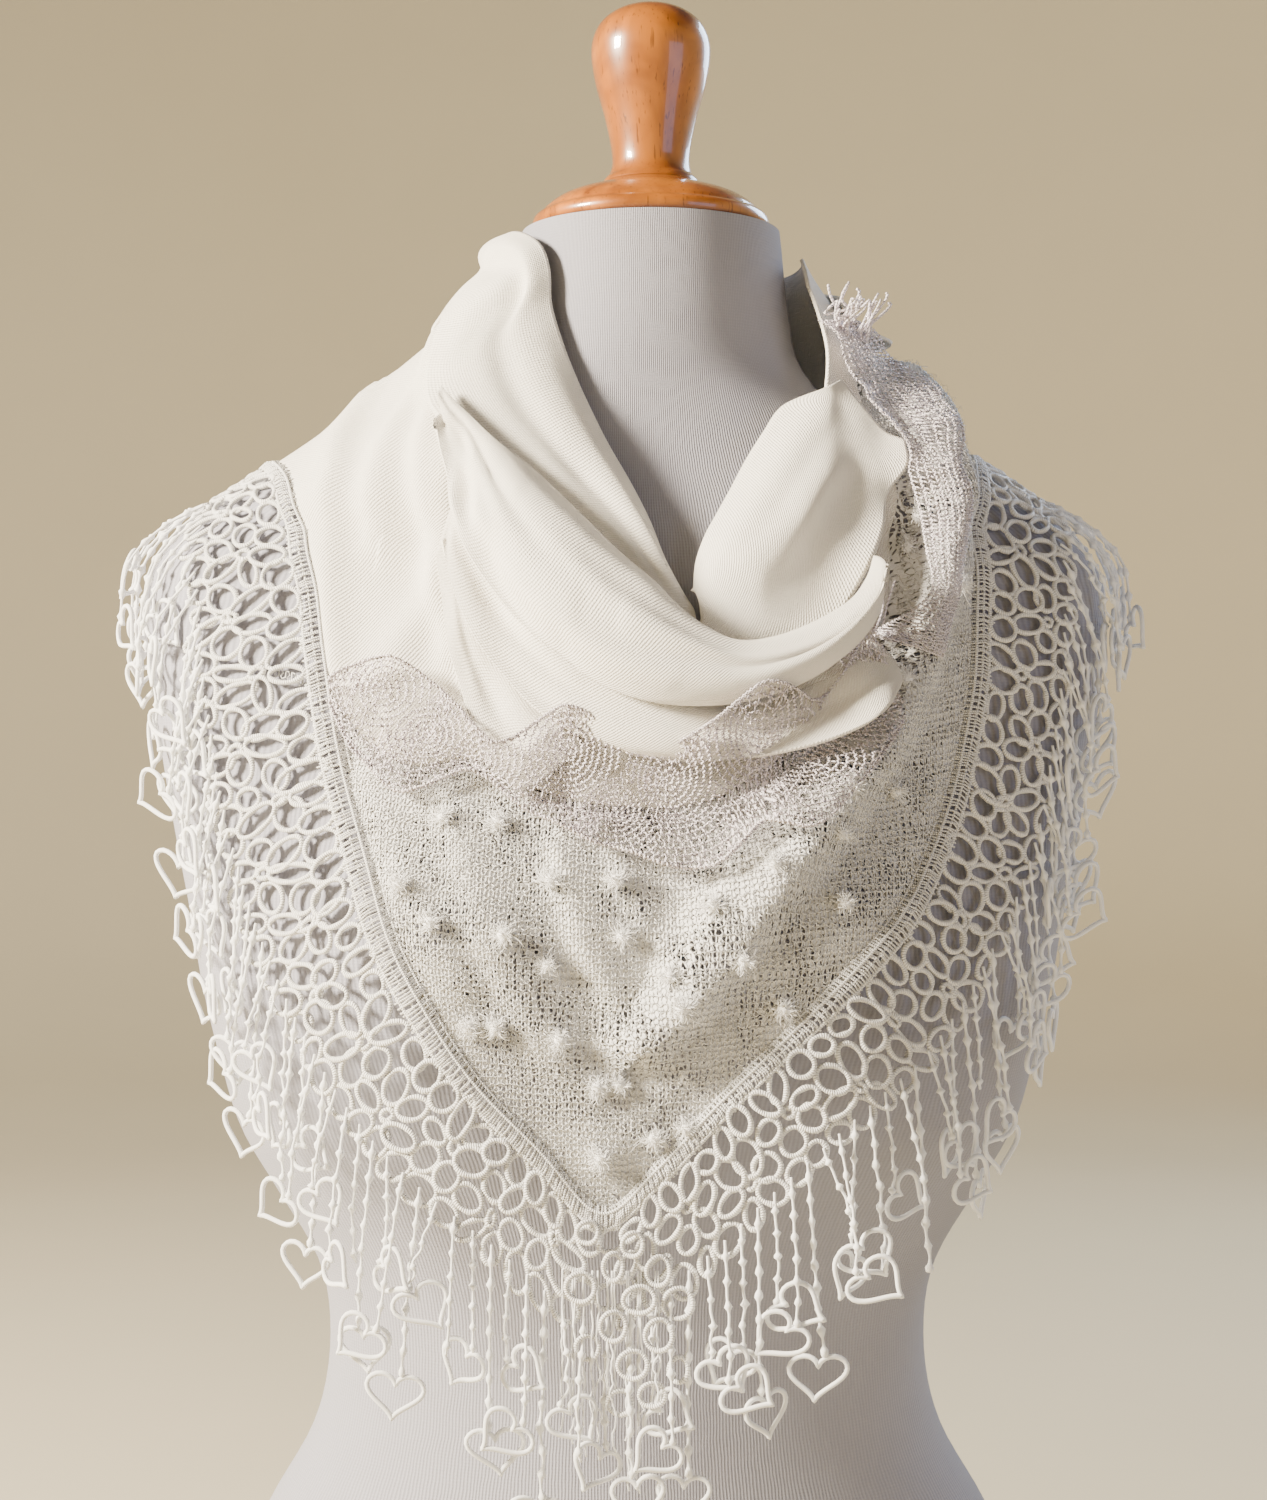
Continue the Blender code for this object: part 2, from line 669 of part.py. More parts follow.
def columns(first, last):
    """The stations of the cloth's columns from one place on the hem to another."""
    start, end = np.argmin(np.abs(COLUMNS - first)), np.argmin(np.abs(COLUMNS - last))
    return COLUMNS[start : end + 1]


def wool_edge(station):
    """Angle and reach of the wool's lower edge: the seam in front, the hem elsewhere."""
    angle, reach = hem_place(station, 0)
    seam = curve(SEAM, "hem_station", station)
    ends = (station == KNIT_FIRST) | (station == KNIT_LAST)
    knitted = (station > KNIT_FIRST) & (station < KNIT_LAST)
    reach = np.where(knitted, seam["reach"], reach - np.where(ends, SEAM_TAPER, 0))
    return np.where(knitted, seam["angle"], angle), reach


def form_torso():
    """The limbless form, from its flat base to the top of the neck."""
    angles = np.arange(FORM_SEGMENTS) * 360 / FORM_SEGMENTS
    levels = FORM_LEVELS
    rings = [place(angles, form_radius(angles, z), np.full(FORM_SEGMENTS, float(z))) for z in levels]
    points = np.concatenate(rings)
    wrap = FORM_SEGMENTS
    faces = [
        (k * wrap + i, k * wrap + (i + 1) % wrap, (k + 1) * wrap + (i + 1) % wrap, (k + 1) * wrap + i)
        for k in range(len(levels) - 1)
        for i in range(wrap)
    ]
    top = (len(levels) - 1) * wrap
    faces += [tuple(range(wrap)), tuple(range(top, top + wrap))]
    return solid("form_torso", points, faces, "jersey")


def turned(name, rings, tip):
    """A turned piece of wood on the neck's axis, with a flat or a domed top."""
    angles = np.arange(TURNED_SEGMENTS) * 360 / TURNED_SEGMENTS
    wrap = TURNED_SEGMENTS
    middle = NECK_LEAN * MM
    points = []
    for ring in rings:
        turn = np.radians(angles)
        across = middle + ring.radius * MM * np.sin(turn)
        deep = -ring.radius * MM * np.cos(turn)
        points += list(zip(across, deep, np.full(wrap, ring.height * MM)))
    faces = [
        (k * wrap + i, k * wrap + (i + 1) % wrap, (k + 1) * wrap + (i + 1) % wrap, (k + 1) * wrap + i)
        for k in range(len(rings) - 1)
        for i in range(wrap)
    ]
    faces.append(tuple(range(wrap)))
    top = (len(rings) - 1) * wrap
    if tip is None:
        faces.append(tuple(range(top, top + wrap)))
    else:
        points.append((middle, 0, tip * MM))
        faces += [(top + i, top + (i + 1) % wrap, len(points) - 1) for i in range(wrap)]
    return solid(name, points, faces, "varnished_wood")


def wool_sheet(name, stations, rows):
    """A stretch of the wool that lies straight on the form."""
    angle, bottom = wool_edge(stations)
    angle = (angle + 180) % 360 - 180
    top = np.interp(angle, [w.angle for w in WOOL_TOP], [w.reach for w in WOOL_TOP])
    share = np.linspace(0, 1, rows)[None, :]
    reach = top[:, None] * (1 - share) + bottom[:, None] * share
    spread = np.broadcast_to(angle[:, None], reach.shape)
    lift = fold_relief(WOOL_FOLDS, spread, reach) * np.sin(np.pi * share) ** 0.5
    return sheet(name, spread, reach, lift, WOOL_THICK, "wool")


def knit_sheet(name, stations, rows):
    """A stretch of the openwork knit between the seam and the hem."""
    angle, top = wool_edge(stations)
    hem_angle, hem_reach = hem_place(stations, 0)
    share = np.linspace(0, 1, rows)[None, :]
    hem_angle = np.where(hem_angle < angle - 180, hem_angle + 360, hem_angle)
    spread = angle[:, None] * (1 - share) + hem_angle[:, None] * share
    reach = top[:, None] * (1 - share) + hem_reach[:, None] * share
    fade = np.minimum(np.minimum(share, 1 - share) / RELIEF_FADE, 1)
    lift = fold_relief(KNIT_FOLDS, spread, reach) * fade
    return sheet(name, spread, reach, lift, KNIT_THICK, "knit")


def sheet(name, angle, reach, lift, thickness, finish):
    """A wall of cloth on the drape, drawn in a little along its edges."""
    sides = ["row first", "row last", "column first", "column last"]
    outer = inset(drape_point(angle, reach, thickness + lift), SEAM_GAP / 2, sides)
    inner = inset(drape_point(angle, reach, lift), SEAM_GAP / 2, sides)
    return thick(name, outer, inner, grid_faces(*outer.shape[:2]), finish)


def ring_net(cells, rows):
    """Flat points and faces of a tape with rows of six-sided rings below it.

    A point is (half rings along, millimetres across).
    """
    tall = (EDGING_WIDTH - TAPE_WIDTH) / (rows + 1 / 3)
    first = TAPE_WIDTH + tall * 2 / 3
    points, faces, known = [], [], {}

    def point(step, across):
        key = (round(step, 3), round(across, 3))
        if key not in known:
            known[key] = len(points)
            points.append((step, across))
        return known[key]

    for step in range(0, 2 * cells, 2):
        dips = [point(step, first - tall / 3), point(step + 2, first - tall / 3)]
        peak = point(step + 1, TAPE_WIDTH)
        faces.append((point(step, 0), dips[0], peak, dips[1], point(step + 2, 0)))
    sides, corners = {}, {}
    for row in range(rows):
        mid = first + row * tall
        shift = row % 2
        for at in range(1 + shift, 2 * cells, 2):
            rim = [(at, mid - tall * 2 / 3), (at - 1, mid - tall / 3), (at - 1, mid + tall / 3)]
            rim += [(at, mid + tall * 2 / 3), (at + 1, mid + tall / 3), (at + 1, mid - tall / 3)]
            hole = [(at + (x - at) * RING_OPEN, mid + (y - mid) * RING_OPEN) for x, y in rim]
            rim, hole = [point(*p) for p in rim], [point(*p) for p in hole]
            for k in range(6):
                sides[rim[k], rim[k - 5]] = (hole[k], hole[k - 5])
        for end, turn in ((0, 1), (2 * cells, -1)) if shift else ():
            half = [point(end, mid - tall * 2 / 3), point(end, mid + tall * 2 / 3)]
            half += [point(end + turn, mid + tall / 3), point(end + turn, mid - tall / 3)]
            faces.append(tuple(half[::turn]))
    for (a, b), (near_a, near_b) in sides.items():
        if (b, a) not in sides:
            faces.append((a, b, near_b, near_a))
        else:
            far_b, far_a = sides[b, a]
            corners.setdefault(a, {})[far_a] = near_a
            if a < b:
                faces.append((near_b, near_a, far_a, far_b))
    for corner, turns in corners.items():
        start = next(iter(turns))
        round_it = [start, turns[start]]
        while round_it[-1] in turns and turns[round_it[-1]] != start:
            round_it.append(turns[round_it[-1]])
        faces.append(tuple(round_it) if len(turns) == 3 else (*round_it, corner))
    used = sorted({v for face in faces for v in face})
    place_of = {v: i for i, v in enumerate(used)}
    return np.array(points)[used], [tuple(place_of[v] for v in face) for face in faces]


def edging(name, stations, rows):
    """A stretch of the lace edging, cut through in every ring."""
    net, faces = ring_net((len(stations) - 1) // 2, rows)
    station = np.interp(net[:, 0], np.arange(len(stations)), stations)
    station = np.clip(station, stations[0] + END_GAP, stations[-1] - END_GAP)
    angle, reach = hem_place(station, np.maximum(net[:, 1], SEAM_GAP / 2))
    outer = drape_point(angle, reach, LACE_THICK)
    inner = drape_point(angle, reach, 0)
    return thick(name, outer, inner, faces, "lace")


def cover(pieces):
    """What lies on the form so far, to look up how high it stands."""
    points, faces = [], []
    for piece in pieces:
        start = len(points)
        points += [v.co.copy() for v in piece.data.vertices]
        faces += [tuple(start + i for i in p.vertices) for p in piece.data.polygons]
    return BVHTree.FromPolygons(points, faces)


def clear_of(points, tree, room):
    """Move points away from the form's axis until they clear what lies beneath by `room`."""
    moved = points.copy()
    for index in np.ndindex(points.shape[:-1]):
        x, y, z = points[index] / MM
        x -= lean(z)
        angle, radius = math.degrees(math.atan2(x, -y)), math.hypot(x, y)
        under = form_radius(angle, z)
        for turn, rise in LOOK_ROUND:
            start = Vector(place(angle + turn, LOOK_FROM, z + rise))
            end = Vector(place(angle + turn, 0, z + rise))
            hit = tree.ray_cast(start, (end - start).normalized())[3]
            if hit is not None:
                under = max(under, LOOK_FROM - hit / MM)
        moved[index] = place(angle, max(radius, under + room), z)
    return moved


def loop(name, pieces, steps, across=5):
    """A band of wool round the neck, laid over what is there already."""
    rows = LOOPS[name]
    row = curve(rows, None, np.linspace(0, len(rows) - 1, steps))
    share = np.linspace(0, 2, across)
    over, under = np.minimum(share, 1) * math.pi / 2, np.maximum(share - 1, 0) * math.pi / 2

    def through(kind, first, second):
        top, belly, foot = (row[f"{part}_{kind}"][:, None] for part in ("top", "belly", "foot"))
        return top + (belly - top) * first(over) + (foot - belly) * second(under)

    angle = through("angle", lambda t: t * 2 / math.pi, lambda t: t * 2 / math.pi)
    height = through("height", lambda t: 1 - np.cos(t), np.sin)
    radius = through("radius", np.sin, lambda t: 1 - np.cos(t))
    outer = clear_of(place(angle, radius, height), cover(pieces), WOOL_THICK + LAYER_GAP)
    inner = outer - grid_normals(outer) * WOOL_THICK * MM
    return thick(name, outer, inner, grid_faces(steps, across), "wool")


def ruffle_front(pieces):
    """The crochet ruffle along the seam, in domes above it and in fans below."""
    row = curve(RUFFLE, None, np.linspace(0, len(RUFFLE) - 1, 2 * len(RUFFLE) - 1))
    wave = {key: value[:, None] for key, value in row.items()}
    angle = row["angle"]
    share = np.array([[-1, 0, 0.35, 0.7, 1]])
    up, down = np.maximum(-share, 0), np.maximum(share, 0)
    seam = smooth(SEAM, "angle", "reach", angle)[:, None]
    reach = seam - wave["above"] * up + wave["below"] * down
    out = RUFFLE_SEAM + (wave["top_out"] - RUFFLE_SEAM) * up + (wave["low_out"] - RUFFLE_SEAM) * down
    outer = drape_point(angle[:, None], reach, out)
    outer = clear_of(outer, cover(pieces), KNIT_THICK + LAYER_GAP)
    inner = outer - grid_normals(outer) * KNIT_THICK * MM
    return thick("ruffle_front", outer, inner, grid_faces(*outer.shape[:2]), "ruffle_yarn")


def ruffle_shoulder(pieces, rows):
    """The ruffle's narrower stretch, from the right shoulder down to the front one."""
    row = curve(SHOULDER_FRILL, None, np.linspace(0, len(SHOULDER_FRILL) - 1, rows))
    row = {key: value[:, None] for key, value in row.items()}
    share = np.array([[0, 1 / 3, 2 / 3, 1]])
    angle = row["inner_angle"] * (1 - share) + row["outer_angle"] * share
    reach = row["inner_reach"] * (1 - share) + row["outer_reach"] * share
    out = RUFFLE_SEAM + (row["out"] - RUFFLE_SEAM) * np.abs(2 * share - 1)
    outer = drape_point(angle, reach, out)
    outer = clear_of(outer, cover(pieces), KNIT_THICK + FRILL_GAP)
    inner = outer - grid_normals(outer) * KNIT_THICK * MM
    return thick("ruffle_shoulder", outer, inner, grid_faces(*outer.shape[:2]), "ruffle_yarn")


def heart_outline(mirrored):
    """A heart's outline with the place of the short stretch that its strand holds it by."""
    turns = np.radians(HEART_TURNS)
    across = HEART_ACROSS * np.sin(turns) ** 3
    up = sum(size * np.cos(wave * turns) for wave, size in enumerate(HEART_UP, 1))
    outline = np.stack([across, up], axis=1) * HEART_WIDTH / (2 * HEART_ACROSS)
    if mirrored:
        return (outline * [-1, 1])[::-1], len(turns) - 2 - HEART_HOLD
    return outline, HEART_HOLD


def hung_heart(mirrored, tilt):
    """A heart with its hold at the origin and the rest below: outline, outward sides, hold."""
    outline, hold = heart_outline(mirrored)
    run = outline[hold + 1] - outline[hold]
    turn = math.radians(tilt) - math.atan2(run[1], run[0])
    spin = np.array([[math.cos(turn), math.sin(turn)], [-math.sin(turn), math.cos(turn)]])
    outline = (outline - outline[hold : hold + 2].mean(axis=0)) @ spin
    along = np.roll(outline, -1, axis=0) - np.roll(outline, 1, axis=0)
    outward = np.stack([-along[:, 1], along[:, 0]], axis=1)
    outward /= np.linalg.norm(outward, axis=1, keepdims=True)
    return outline, outward, hold


def strand_places(station, length, out, spread):
    """Where a strand of the fringe runs: angle, reach and how far off the drape."""
    angle, reach = hem_place(station, EDGING_WIDTH + STRIP_GAP + STRIP_WIDTH + ROOT_RUN)
    away = np.sign(angle) * spread if abs(angle) > SPREAD_FROM else 0
    steps = 3 if read_profile(DRAPE_HEIGHT, angle, reach) > BEND_ABOVE else 2
    return [
        (angle + away * t, reach + length * t, ROOT_OUT + (out - ROOT_OUT) * min(1, 2 * t))
        for t in np.linspace(0, 1, steps + 1)
    ]


def spots(places, heart):
    """Points along a strand and round its heart, to keep strands apart."""
    dense = [np.linspace(a, b, 6) for a, b in zip(np.array(places), np.array(places)[1:])]
    run = np.concatenate(dense)
    angle, reach, out = places[-1]
    closed = np.concatenate([heart, heart[:1]])
    loops = np.concatenate([np.linspace(a, b, 5) for a, b in zip(closed, closed[1:])])
    size = math.degrees(1 / read_profile(DRAPE_RADIUS, angle, reach))
    return np.concatenate([
        drape_point(run[:, 0], run[:, 1], run[:, 2]),
        drape_point(angle + loops[:, 0] * size, reach - loops[:, 1], out),
    ]) / MM


def thinned(stations, step):
    """The stations that lie at least `step` degrees from the last one kept."""
    kept = []
    for station in stations:
        angle = hem_place(station, EDGING_WIDTH)[0]
        if not kept or abs((angle - kept[-1][1] + 180) % 360 - 180) >= step:
            kept.append((station, angle))
    return np.array([station for station, angle in kept])


def fringe(name, stations, peaks, step, taken):
    """Strands that end in hearts, fused to one narrow strip along the edging's ring ends.

    The strands are at least `step` degrees apart, and clear of the ones in `taken`.
    """
    roots = thinned(peaks, step)
    before = drape_point(*hem_place(roots - STATION_NUDGE, EDGING_WIDTH), STRIP_LIFT)
    after = drape_point(*hem_place(roots + STATION_NUDGE, EDGING_WIDTH), STRIP_LIFT)
    run = np.linalg.norm(after - before, axis=1) / (2 * STATION_NUDGE)
    half = THREAD / 2 * MM / run
    ends = [stations[0] + END_GAP, stations[-1] - END_GAP]
    bare = np.setdiff1d(peaks, roots)
    stops = np.sort(np.concatenate([ends, bare, roots - half, roots + half]))
    near = EDGING_WIDTH + STRIP_GAP
    far = near + STRIP_WIDTH
    low, high = STRIP_LIFT, STRIP_LIFT + THREAD
    corners = [(near, high), (near, low), (far, low), (far, high)]
    points = []
    for stop in stops:
        points += [drape_point(*hem_place(stop, across), out) for across, out in corners]
    faces = []
    held = {int(np.searchsorted(stops, root)) - 1: root for root in roots}
    for k in range(len(stops) - 1):
        for c in range(4):
            d = (c + 1) % 4
            quad = (4 * k + c, 4 * k + d, 4 * k + 4 + d, 4 * k + 4 + c)
            if c == 2 and k in held:
                if hang(points, faces, (quad[1], quad[0], quad[3], quad[2]), held[k], k // 2, taken):
                    continue
            faces.append(quad)
    last = 4 * (len(stops) - 1)
    faces += [(0, 1, 2, 3), (last, last + 1, last + 2, last + 3)]
    return solid(name, points, faces, "thread")


def hang(points, faces, root, station, count, taken):
    """Add one strand with its heart to the strip, where there is room for it."""
    for option in range(len(STRANDS)):
        strand = STRANDS[(count + option) % len(STRANDS)]
        heart, outward, hold = hung_heart(strand.mirrored, strand.tilt)
        places = strand_places(station, strand.length, strand.out, strand.spread)
        here = spots(places, heart)
        gap = min((np.linalg.norm(here[:, None] - t[None], axis=2).min() for t in taken), default=99)
        if gap > STRAND_ROOM:
            break
    else:
        return False
    taken.append(here)
    loop_before = root
    sides = [(-1, 1), (-1, -1), (1, -1), (1, 1)]
    for angle, reach, out in places[:-1]:
        size = math.degrees(1 / read_profile(DRAPE_RADIUS, angle, reach))
        ring = []
        for s, n in sides:
            ring.append(len(points))
            points.append(drape_point(angle + s * THREAD / 2 * size, reach, out + n * THREAD / 2))
        faces += [(loop_before[c], loop_before[c - 3], ring[c - 3], ring[c]) for c in range(4)]
        loop_before = ring
    angle, reach, out = places[-1]
    size = math.degrees(1 / read_profile(DRAPE_RADIUS, angle, reach))
    start = len(points)
    for spot, side in zip(heart, outward):
        for push, rise in ((THREAD / 2, THREAD / 2), (THREAD / 2, -THREAD / 2), (-THREAD / 2, 0)):
            x, y = spot + side * push
            points.append(drape_point(angle + x * size, reach - y, out + rise))
    for i in range(len(heart)):
        a, b = start + 3 * i, start + 3 * ((i + 1) % len(heart))
        if i != hold:
            faces.append((a, b, b + 1, a + 1))
        faces += [(a + 1, b + 1, b + 2, a + 2), (a + 2, b + 2, b, a)]
    a, b = start + 3 * hold, start + 3 * (hold + 1)
    ring = (a, a + 1, b + 1, b)
    faces += [(loop_before[c], loop_before[c - 3], ring[c - 3], ring[c]) for c in range(4)]
    return True


def main():
    """Build the form and lay the shawl on it, layer by layer."""
    clear_scene()
    form_torso()
    turned("neck_cap", CAP, None)
    turned("handle", HANDLE, HANDLE_TOP)
    left_end = LEFT_SHOULDER + WHOLE_TURN
    laid = [
        wool_sheet("wool_left", columns(LEFT_SHOULDER, WOOL_JOIN), rows=7),
        wool_sheet("wool_front", columns(WOOL_JOIN, KNIT_JOIN), rows=4),
        wool_sheet("wool_back", columns(KNIT_JOIN, left_end), rows=6),
        knit_sheet("knit_front", columns(KNIT_FIRST, KNIT_JOIN), rows=8),
        knit_sheet("knit_shoulder", columns(KNIT_JOIN, KNIT_LAST), rows=5),
    ]
    laid.append(loop("wool_fold_low", laid, steps=8))
    laid.append(ruffle_front(laid))
    laid.append(loop("wool_fold_middle", laid, steps=14))
    laid.append(loop("wool_loop_inner", laid, steps=26))
    laid.append(loop("wool_tuck_right", laid, steps=10))
    laid.append(ruffle_shoulder(laid, rows=21))
    laid.append(loop("wool_loop_outer", laid, steps=20, across=7))
    taken = []
    edging("edging_left", LEFT_STATIONS, RING_ROWS)
    edging("edging_right", RIGHT_STATIONS, RING_ROWS)
    edging("edging_back", BACK_STATIONS, BACK_RING_ROWS)
    fringe("fringe_left", LEFT_STATIONS, LEFT_STATIONS[1::2], FRINGE_STEP, taken)
    fringe("fringe_right", RIGHT_STATIONS, RIGHT_STATIONS[1::2], FRINGE_STEP, taken)
    fringe("fringe_back", BACK_STATIONS, BACK_STATIONS[2:-1:2], BACK_FRINGE_STEP, taken)


main()
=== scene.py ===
"""Dresses the lace shawl and its form: fine cloth, openwork, ruffle, lace and fringe.

Every piece follows the drape, which is the shape that a cloth takes over the form. A place
on it is an angle round the form, where 0 is the front and 90 is +X, and a reach, which is
the way down the cloth from the top of the neck. Both tables and reaches are in millimetres
and degrees, and the finished meshes are in metres.
"""

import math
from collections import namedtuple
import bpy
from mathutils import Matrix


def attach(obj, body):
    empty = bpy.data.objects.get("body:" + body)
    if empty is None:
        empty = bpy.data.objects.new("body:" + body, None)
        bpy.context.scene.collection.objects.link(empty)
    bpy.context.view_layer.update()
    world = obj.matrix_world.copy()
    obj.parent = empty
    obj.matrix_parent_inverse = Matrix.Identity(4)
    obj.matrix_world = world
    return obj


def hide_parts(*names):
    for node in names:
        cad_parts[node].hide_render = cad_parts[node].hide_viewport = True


bl_info = {
    "name": "Lace shawl on a dress form",
    "version": (1, 0, 0),
    "blender": (4, 5, 0),
    "location": "3D View > Sidebar > Shawl",
    "description": "Models the shawl's cloth, openwork, ruffle, lace and fringe on its form",
    "category": "Object",
}

import bpy
import numpy as np
from bpy.props import FloatProperty, FloatVectorProperty, IntProperty, PointerProperty
from mathutils import Vector
from mathutils.bvhtree import BVHTree

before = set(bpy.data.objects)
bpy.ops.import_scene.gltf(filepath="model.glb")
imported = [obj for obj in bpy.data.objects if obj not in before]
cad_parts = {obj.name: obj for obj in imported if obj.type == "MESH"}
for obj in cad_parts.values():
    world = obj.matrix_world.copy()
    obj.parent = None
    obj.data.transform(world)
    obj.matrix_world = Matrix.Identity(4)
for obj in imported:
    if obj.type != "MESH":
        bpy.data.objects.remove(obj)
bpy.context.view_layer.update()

MM = 0.001

# Sizes of the form and of the cloth, in millimetres.
NECK_TOP = 662
NECK_LEAN = 10
LEAN_FROM = 560
LEAN_OVER = 80
CLOTH_CLEAR = 1.0
WOOL_THICK = 1.5
RUFFLE_THICK = 1.3
EDGING_WIDTH = 45
TAPE_WIDTH = 5
HEART_WIDTH = 18
LAYER_GAP = 1.4
FRILL_GAP = 0.7
RUFFLE_SEAM = 3
RELIEF_FADE = 0.18
SPREAD_FROM = 25
LOOK_FROM = 300
LOOK_ROUND = [(0, 0), (-4, 0), (4, 0), (0, -5), (0, 5), (-3, -4), (3, 4), (-3, 4), (3, -4)]

# How fine the meshes are.
WOOL_COLUMNS = 330
WOOL_ROWS = 34
KNIT_COLUMNS = 230
KNIT_ROWS = 52
KNIT_FROM = -5.62
KNIT_TO = 13.25
KNIT_RUN_IN = 0.41
STITCH_POINTS = 7
RING_POINTS = 18
HEART_POINTS = 40
HEART_HOLD_TURN = 38
STRAND_POINTS = 48
TURN_SIDES = 96
FORM_SIDES = 96
FORM_RINGS = 110
BOBBLE_HAIRS = 92

# Sizes of the fine work that aren't offered as settings, in millimetres.
LOOP_HEIGHT = 1.7
LOOP_WAIST = 0.62
HAIR_RADIUS = 0.07
BOBBLE_YARN = 0.17
BOBBLE_CORE = 0.6
BOBBLE_RISE = 1.8
CHAIN_STITCH = 1.8
CHAIN_SWAY = 0.45
ROUND_STEP = 1.9
POST_STEP = 3.0
LACE_LIFT = 2.3
RING_STEP = 10.4
RING_ROW_STEP = 9.6
FLOWER_EVERY = 5
KNOT_THICK = 1.3
STRAND_STEP = 7.6
BACK_STRAND_STEP = 14
ROOT_OVERLAP = 8
TIP_THREADS = 16
TIP_FROM = -11
TIP_TO = 7


def table(row, rows):
    """A table whose rows have named columns."""
    return [row(*values) for values in rows]


Section = namedtuple("Section", "height half_width front back squareness")

# The form's sections from the base up: half its width, and its depth before and behind the axis.
FORM = table(Section, [
    (0, 166, 96, 110, 2.2), (45, 171, 100, 116, 2.2), (100, 163, 98, 108, 2.2), (131, 150, 95, 100, 2.2),
    (165, 131, 91, 88, 2.1), (200, 124, 88, 80, 2.1), (235, 129, 91, 76, 2.1), (265, 146, 100, 76, 2.2),
    (290, 160, 111, 80, 2.3), (320, 169, 121, 84, 2.3), (350, 176, 127, 88, 2.3),
    (380, 181, 127, 91, 2.3), (410, 187, 120, 94, 2.3), (450, 194, 106, 96, 2.4), (480, 198, 95, 95, 2.5),
    (505, 199, 86, 93, 2.5), (522, 196, 80, 90, 2.5), (536, 185, 74, 87, 2.4), (548, 168, 69, 84, 2.3),
    (558, 148, 65, 80, 2.2), (570, 122, 62, 76, 2.1), (582, 98, 60, 71, 2.0), (594, 78, 58, 66, 2.0),
    (608, 65, 57, 62, 2.0), (625, 59, 56, 59, 2.0), (NECK_TOP, 54, 54, 56, 2.0),
])
BUST = {"across": 80, "height": 368, "wide": 42, "tall": 50, "rise": 14}

# Where the cloth bunches round the neck and over the shoulders, it stands off the form.
COLLAR = table(Section, [
    (520, 188, 78, 92, 2.4), (545, 172, 80, 104, 2.3), (556, 157, 79, 103, 2.2), (568, 139, 76, 100, 2.2),
    (580, 123, 72, 95, 2.1), (603, 101, 67, 84, 2.0), (624, 80, 62, 73, 2.0), (645, 65, 59, 63, 2.0),
    (NECK_TOP, 58, 57, 59, 2.0),
])


def smooth(rows, key, value, at):
    """A column of a table at any place, on a smooth curve through its rows.

    With no key, the rows are a step apart.
    """
    x = np.array([getattr(row, key) for row in rows] if key else range(len(rows)), float)
    y = np.array([getattr(row, value) for row in rows], float)
    slope = np.gradient(y, x)
    at = np.clip(at, x[0], x[-1])
    i = np.clip(np.searchsorted(x, at) - 1, 0, len(x) - 2)
    step = x[i + 1] - x[i]
    t = (at - x[i]) / step
    start = (2 * t**3 - 3 * t**2 + 1) * y[i] + (t**3 - 2 * t**2 + t) * step * slope[i]
    end = (3 * t**2 - 2 * t**3) * y[i + 1] + (t**3 - t**2) * step * slope[i + 1]
    return start + end


def section_radius(rows, angle, height):
    """How far a section's outline is from the axis. Angle 0 is the front, 90 is +X."""
    turn = np.radians(angle)
    half = smooth(rows, "height", "half_width", height)
    front = smooth(rows, "height", "front", height)
    back = smooth(rows, "height", "back", height)
    power = smooth(rows, "height", "squareness", height)
    deep = np.where(np.cos(turn) > 0, front, back)
    sides = np.abs(np.sin(turn) / half) ** power + np.abs(np.cos(turn) / deep) ** power
    return sides ** (-1 / power)


def form_radius(angle, height):
    """The dress form's surface, with its bust."""
    radius = section_radius(FORM, angle, height)
    across = np.abs(radius * np.sin(np.radians(angle)))
    near = ((across - BUST["across"]) / BUST["wide"]) ** 2
    near = near + ((height - BUST["height"]) / BUST["tall"]) ** 2
    facing = np.clip(np.cos(np.radians(angle)), 0, 1)
    return radius + BUST["rise"] * np.exp(-near) * facing


def lean(height):
    """How far the neck stands to one side at a height."""
    t = np.clip((height - LEAN_FROM) / LEAN_OVER, 0, 1)
    return NECK_LEAN * t * t * (3 - 2 * t)


def place(angle, radius, height):
    """A point round the form's axis, in metres."""
    turn = np.radians(angle)
    across = radius * np.sin(turn) + lean(height)
    return np.stack([across, -radius * np.cos(turn), height + 0 * across], axis=-1) * MM


# The drape: what a cloth that hangs over the form follows. Down each angle it touches the
# form's widest places and hangs straight below them. Reach is the way down the cloth from
# the top of the neck, in millimetres.
ANGLE_STEP = 2.5
REACH_STEP = 4.0
LEVEL_STEP = 2.0
SLOPE_RUN = 8
DRAPE_FOOT = 60
LONGEST_REACH = 560
MEAN_RADIUS = 125
HEM_SAMPLES = 600
DRAPE_ANGLES = np.arange(-180, 181, ANGLE_STEP)
REACHES = np.arange(0, LONGEST_REACH, REACH_STEP)


def drape_profiles():
    """The drape's radius and height at each of DRAPE_ANGLES and REACHES."""
    heights = np.arange(NECK_TOP, DRAPE_FOOT, -LEVEL_STEP)
    turned, level = np.meshgrid(DRAPE_ANGLES, heights, indexing="ij")
    hung = np.maximum.accumulate(form_radius(turned, level), axis=1) + CLOTH_CLEAR
    bunched = section_radius(COLLAR, turned, np.maximum(level, COLLAR[0].height))
    radii = np.maximum(hung, np.where(level >= COLLAR[0].height, bunched, 0))
    radii = np.maximum.accumulate(radii, axis=1)
    steps = np.hypot(np.diff(radii, axis=1), np.diff(level, axis=1))
    down = np.concatenate([np.zeros((len(radii), 1)), np.cumsum(steps, axis=1)], axis=1)
    radius = np.array([np.interp(REACHES, d, r) for d, r in zip(down, radii)])
    height = np.array([np.interp(REACHES, d, z) for d, z in zip(down, level)])
    return radius, height


DRAPE_RADIUS, DRAPE_HEIGHT = drape_profiles()


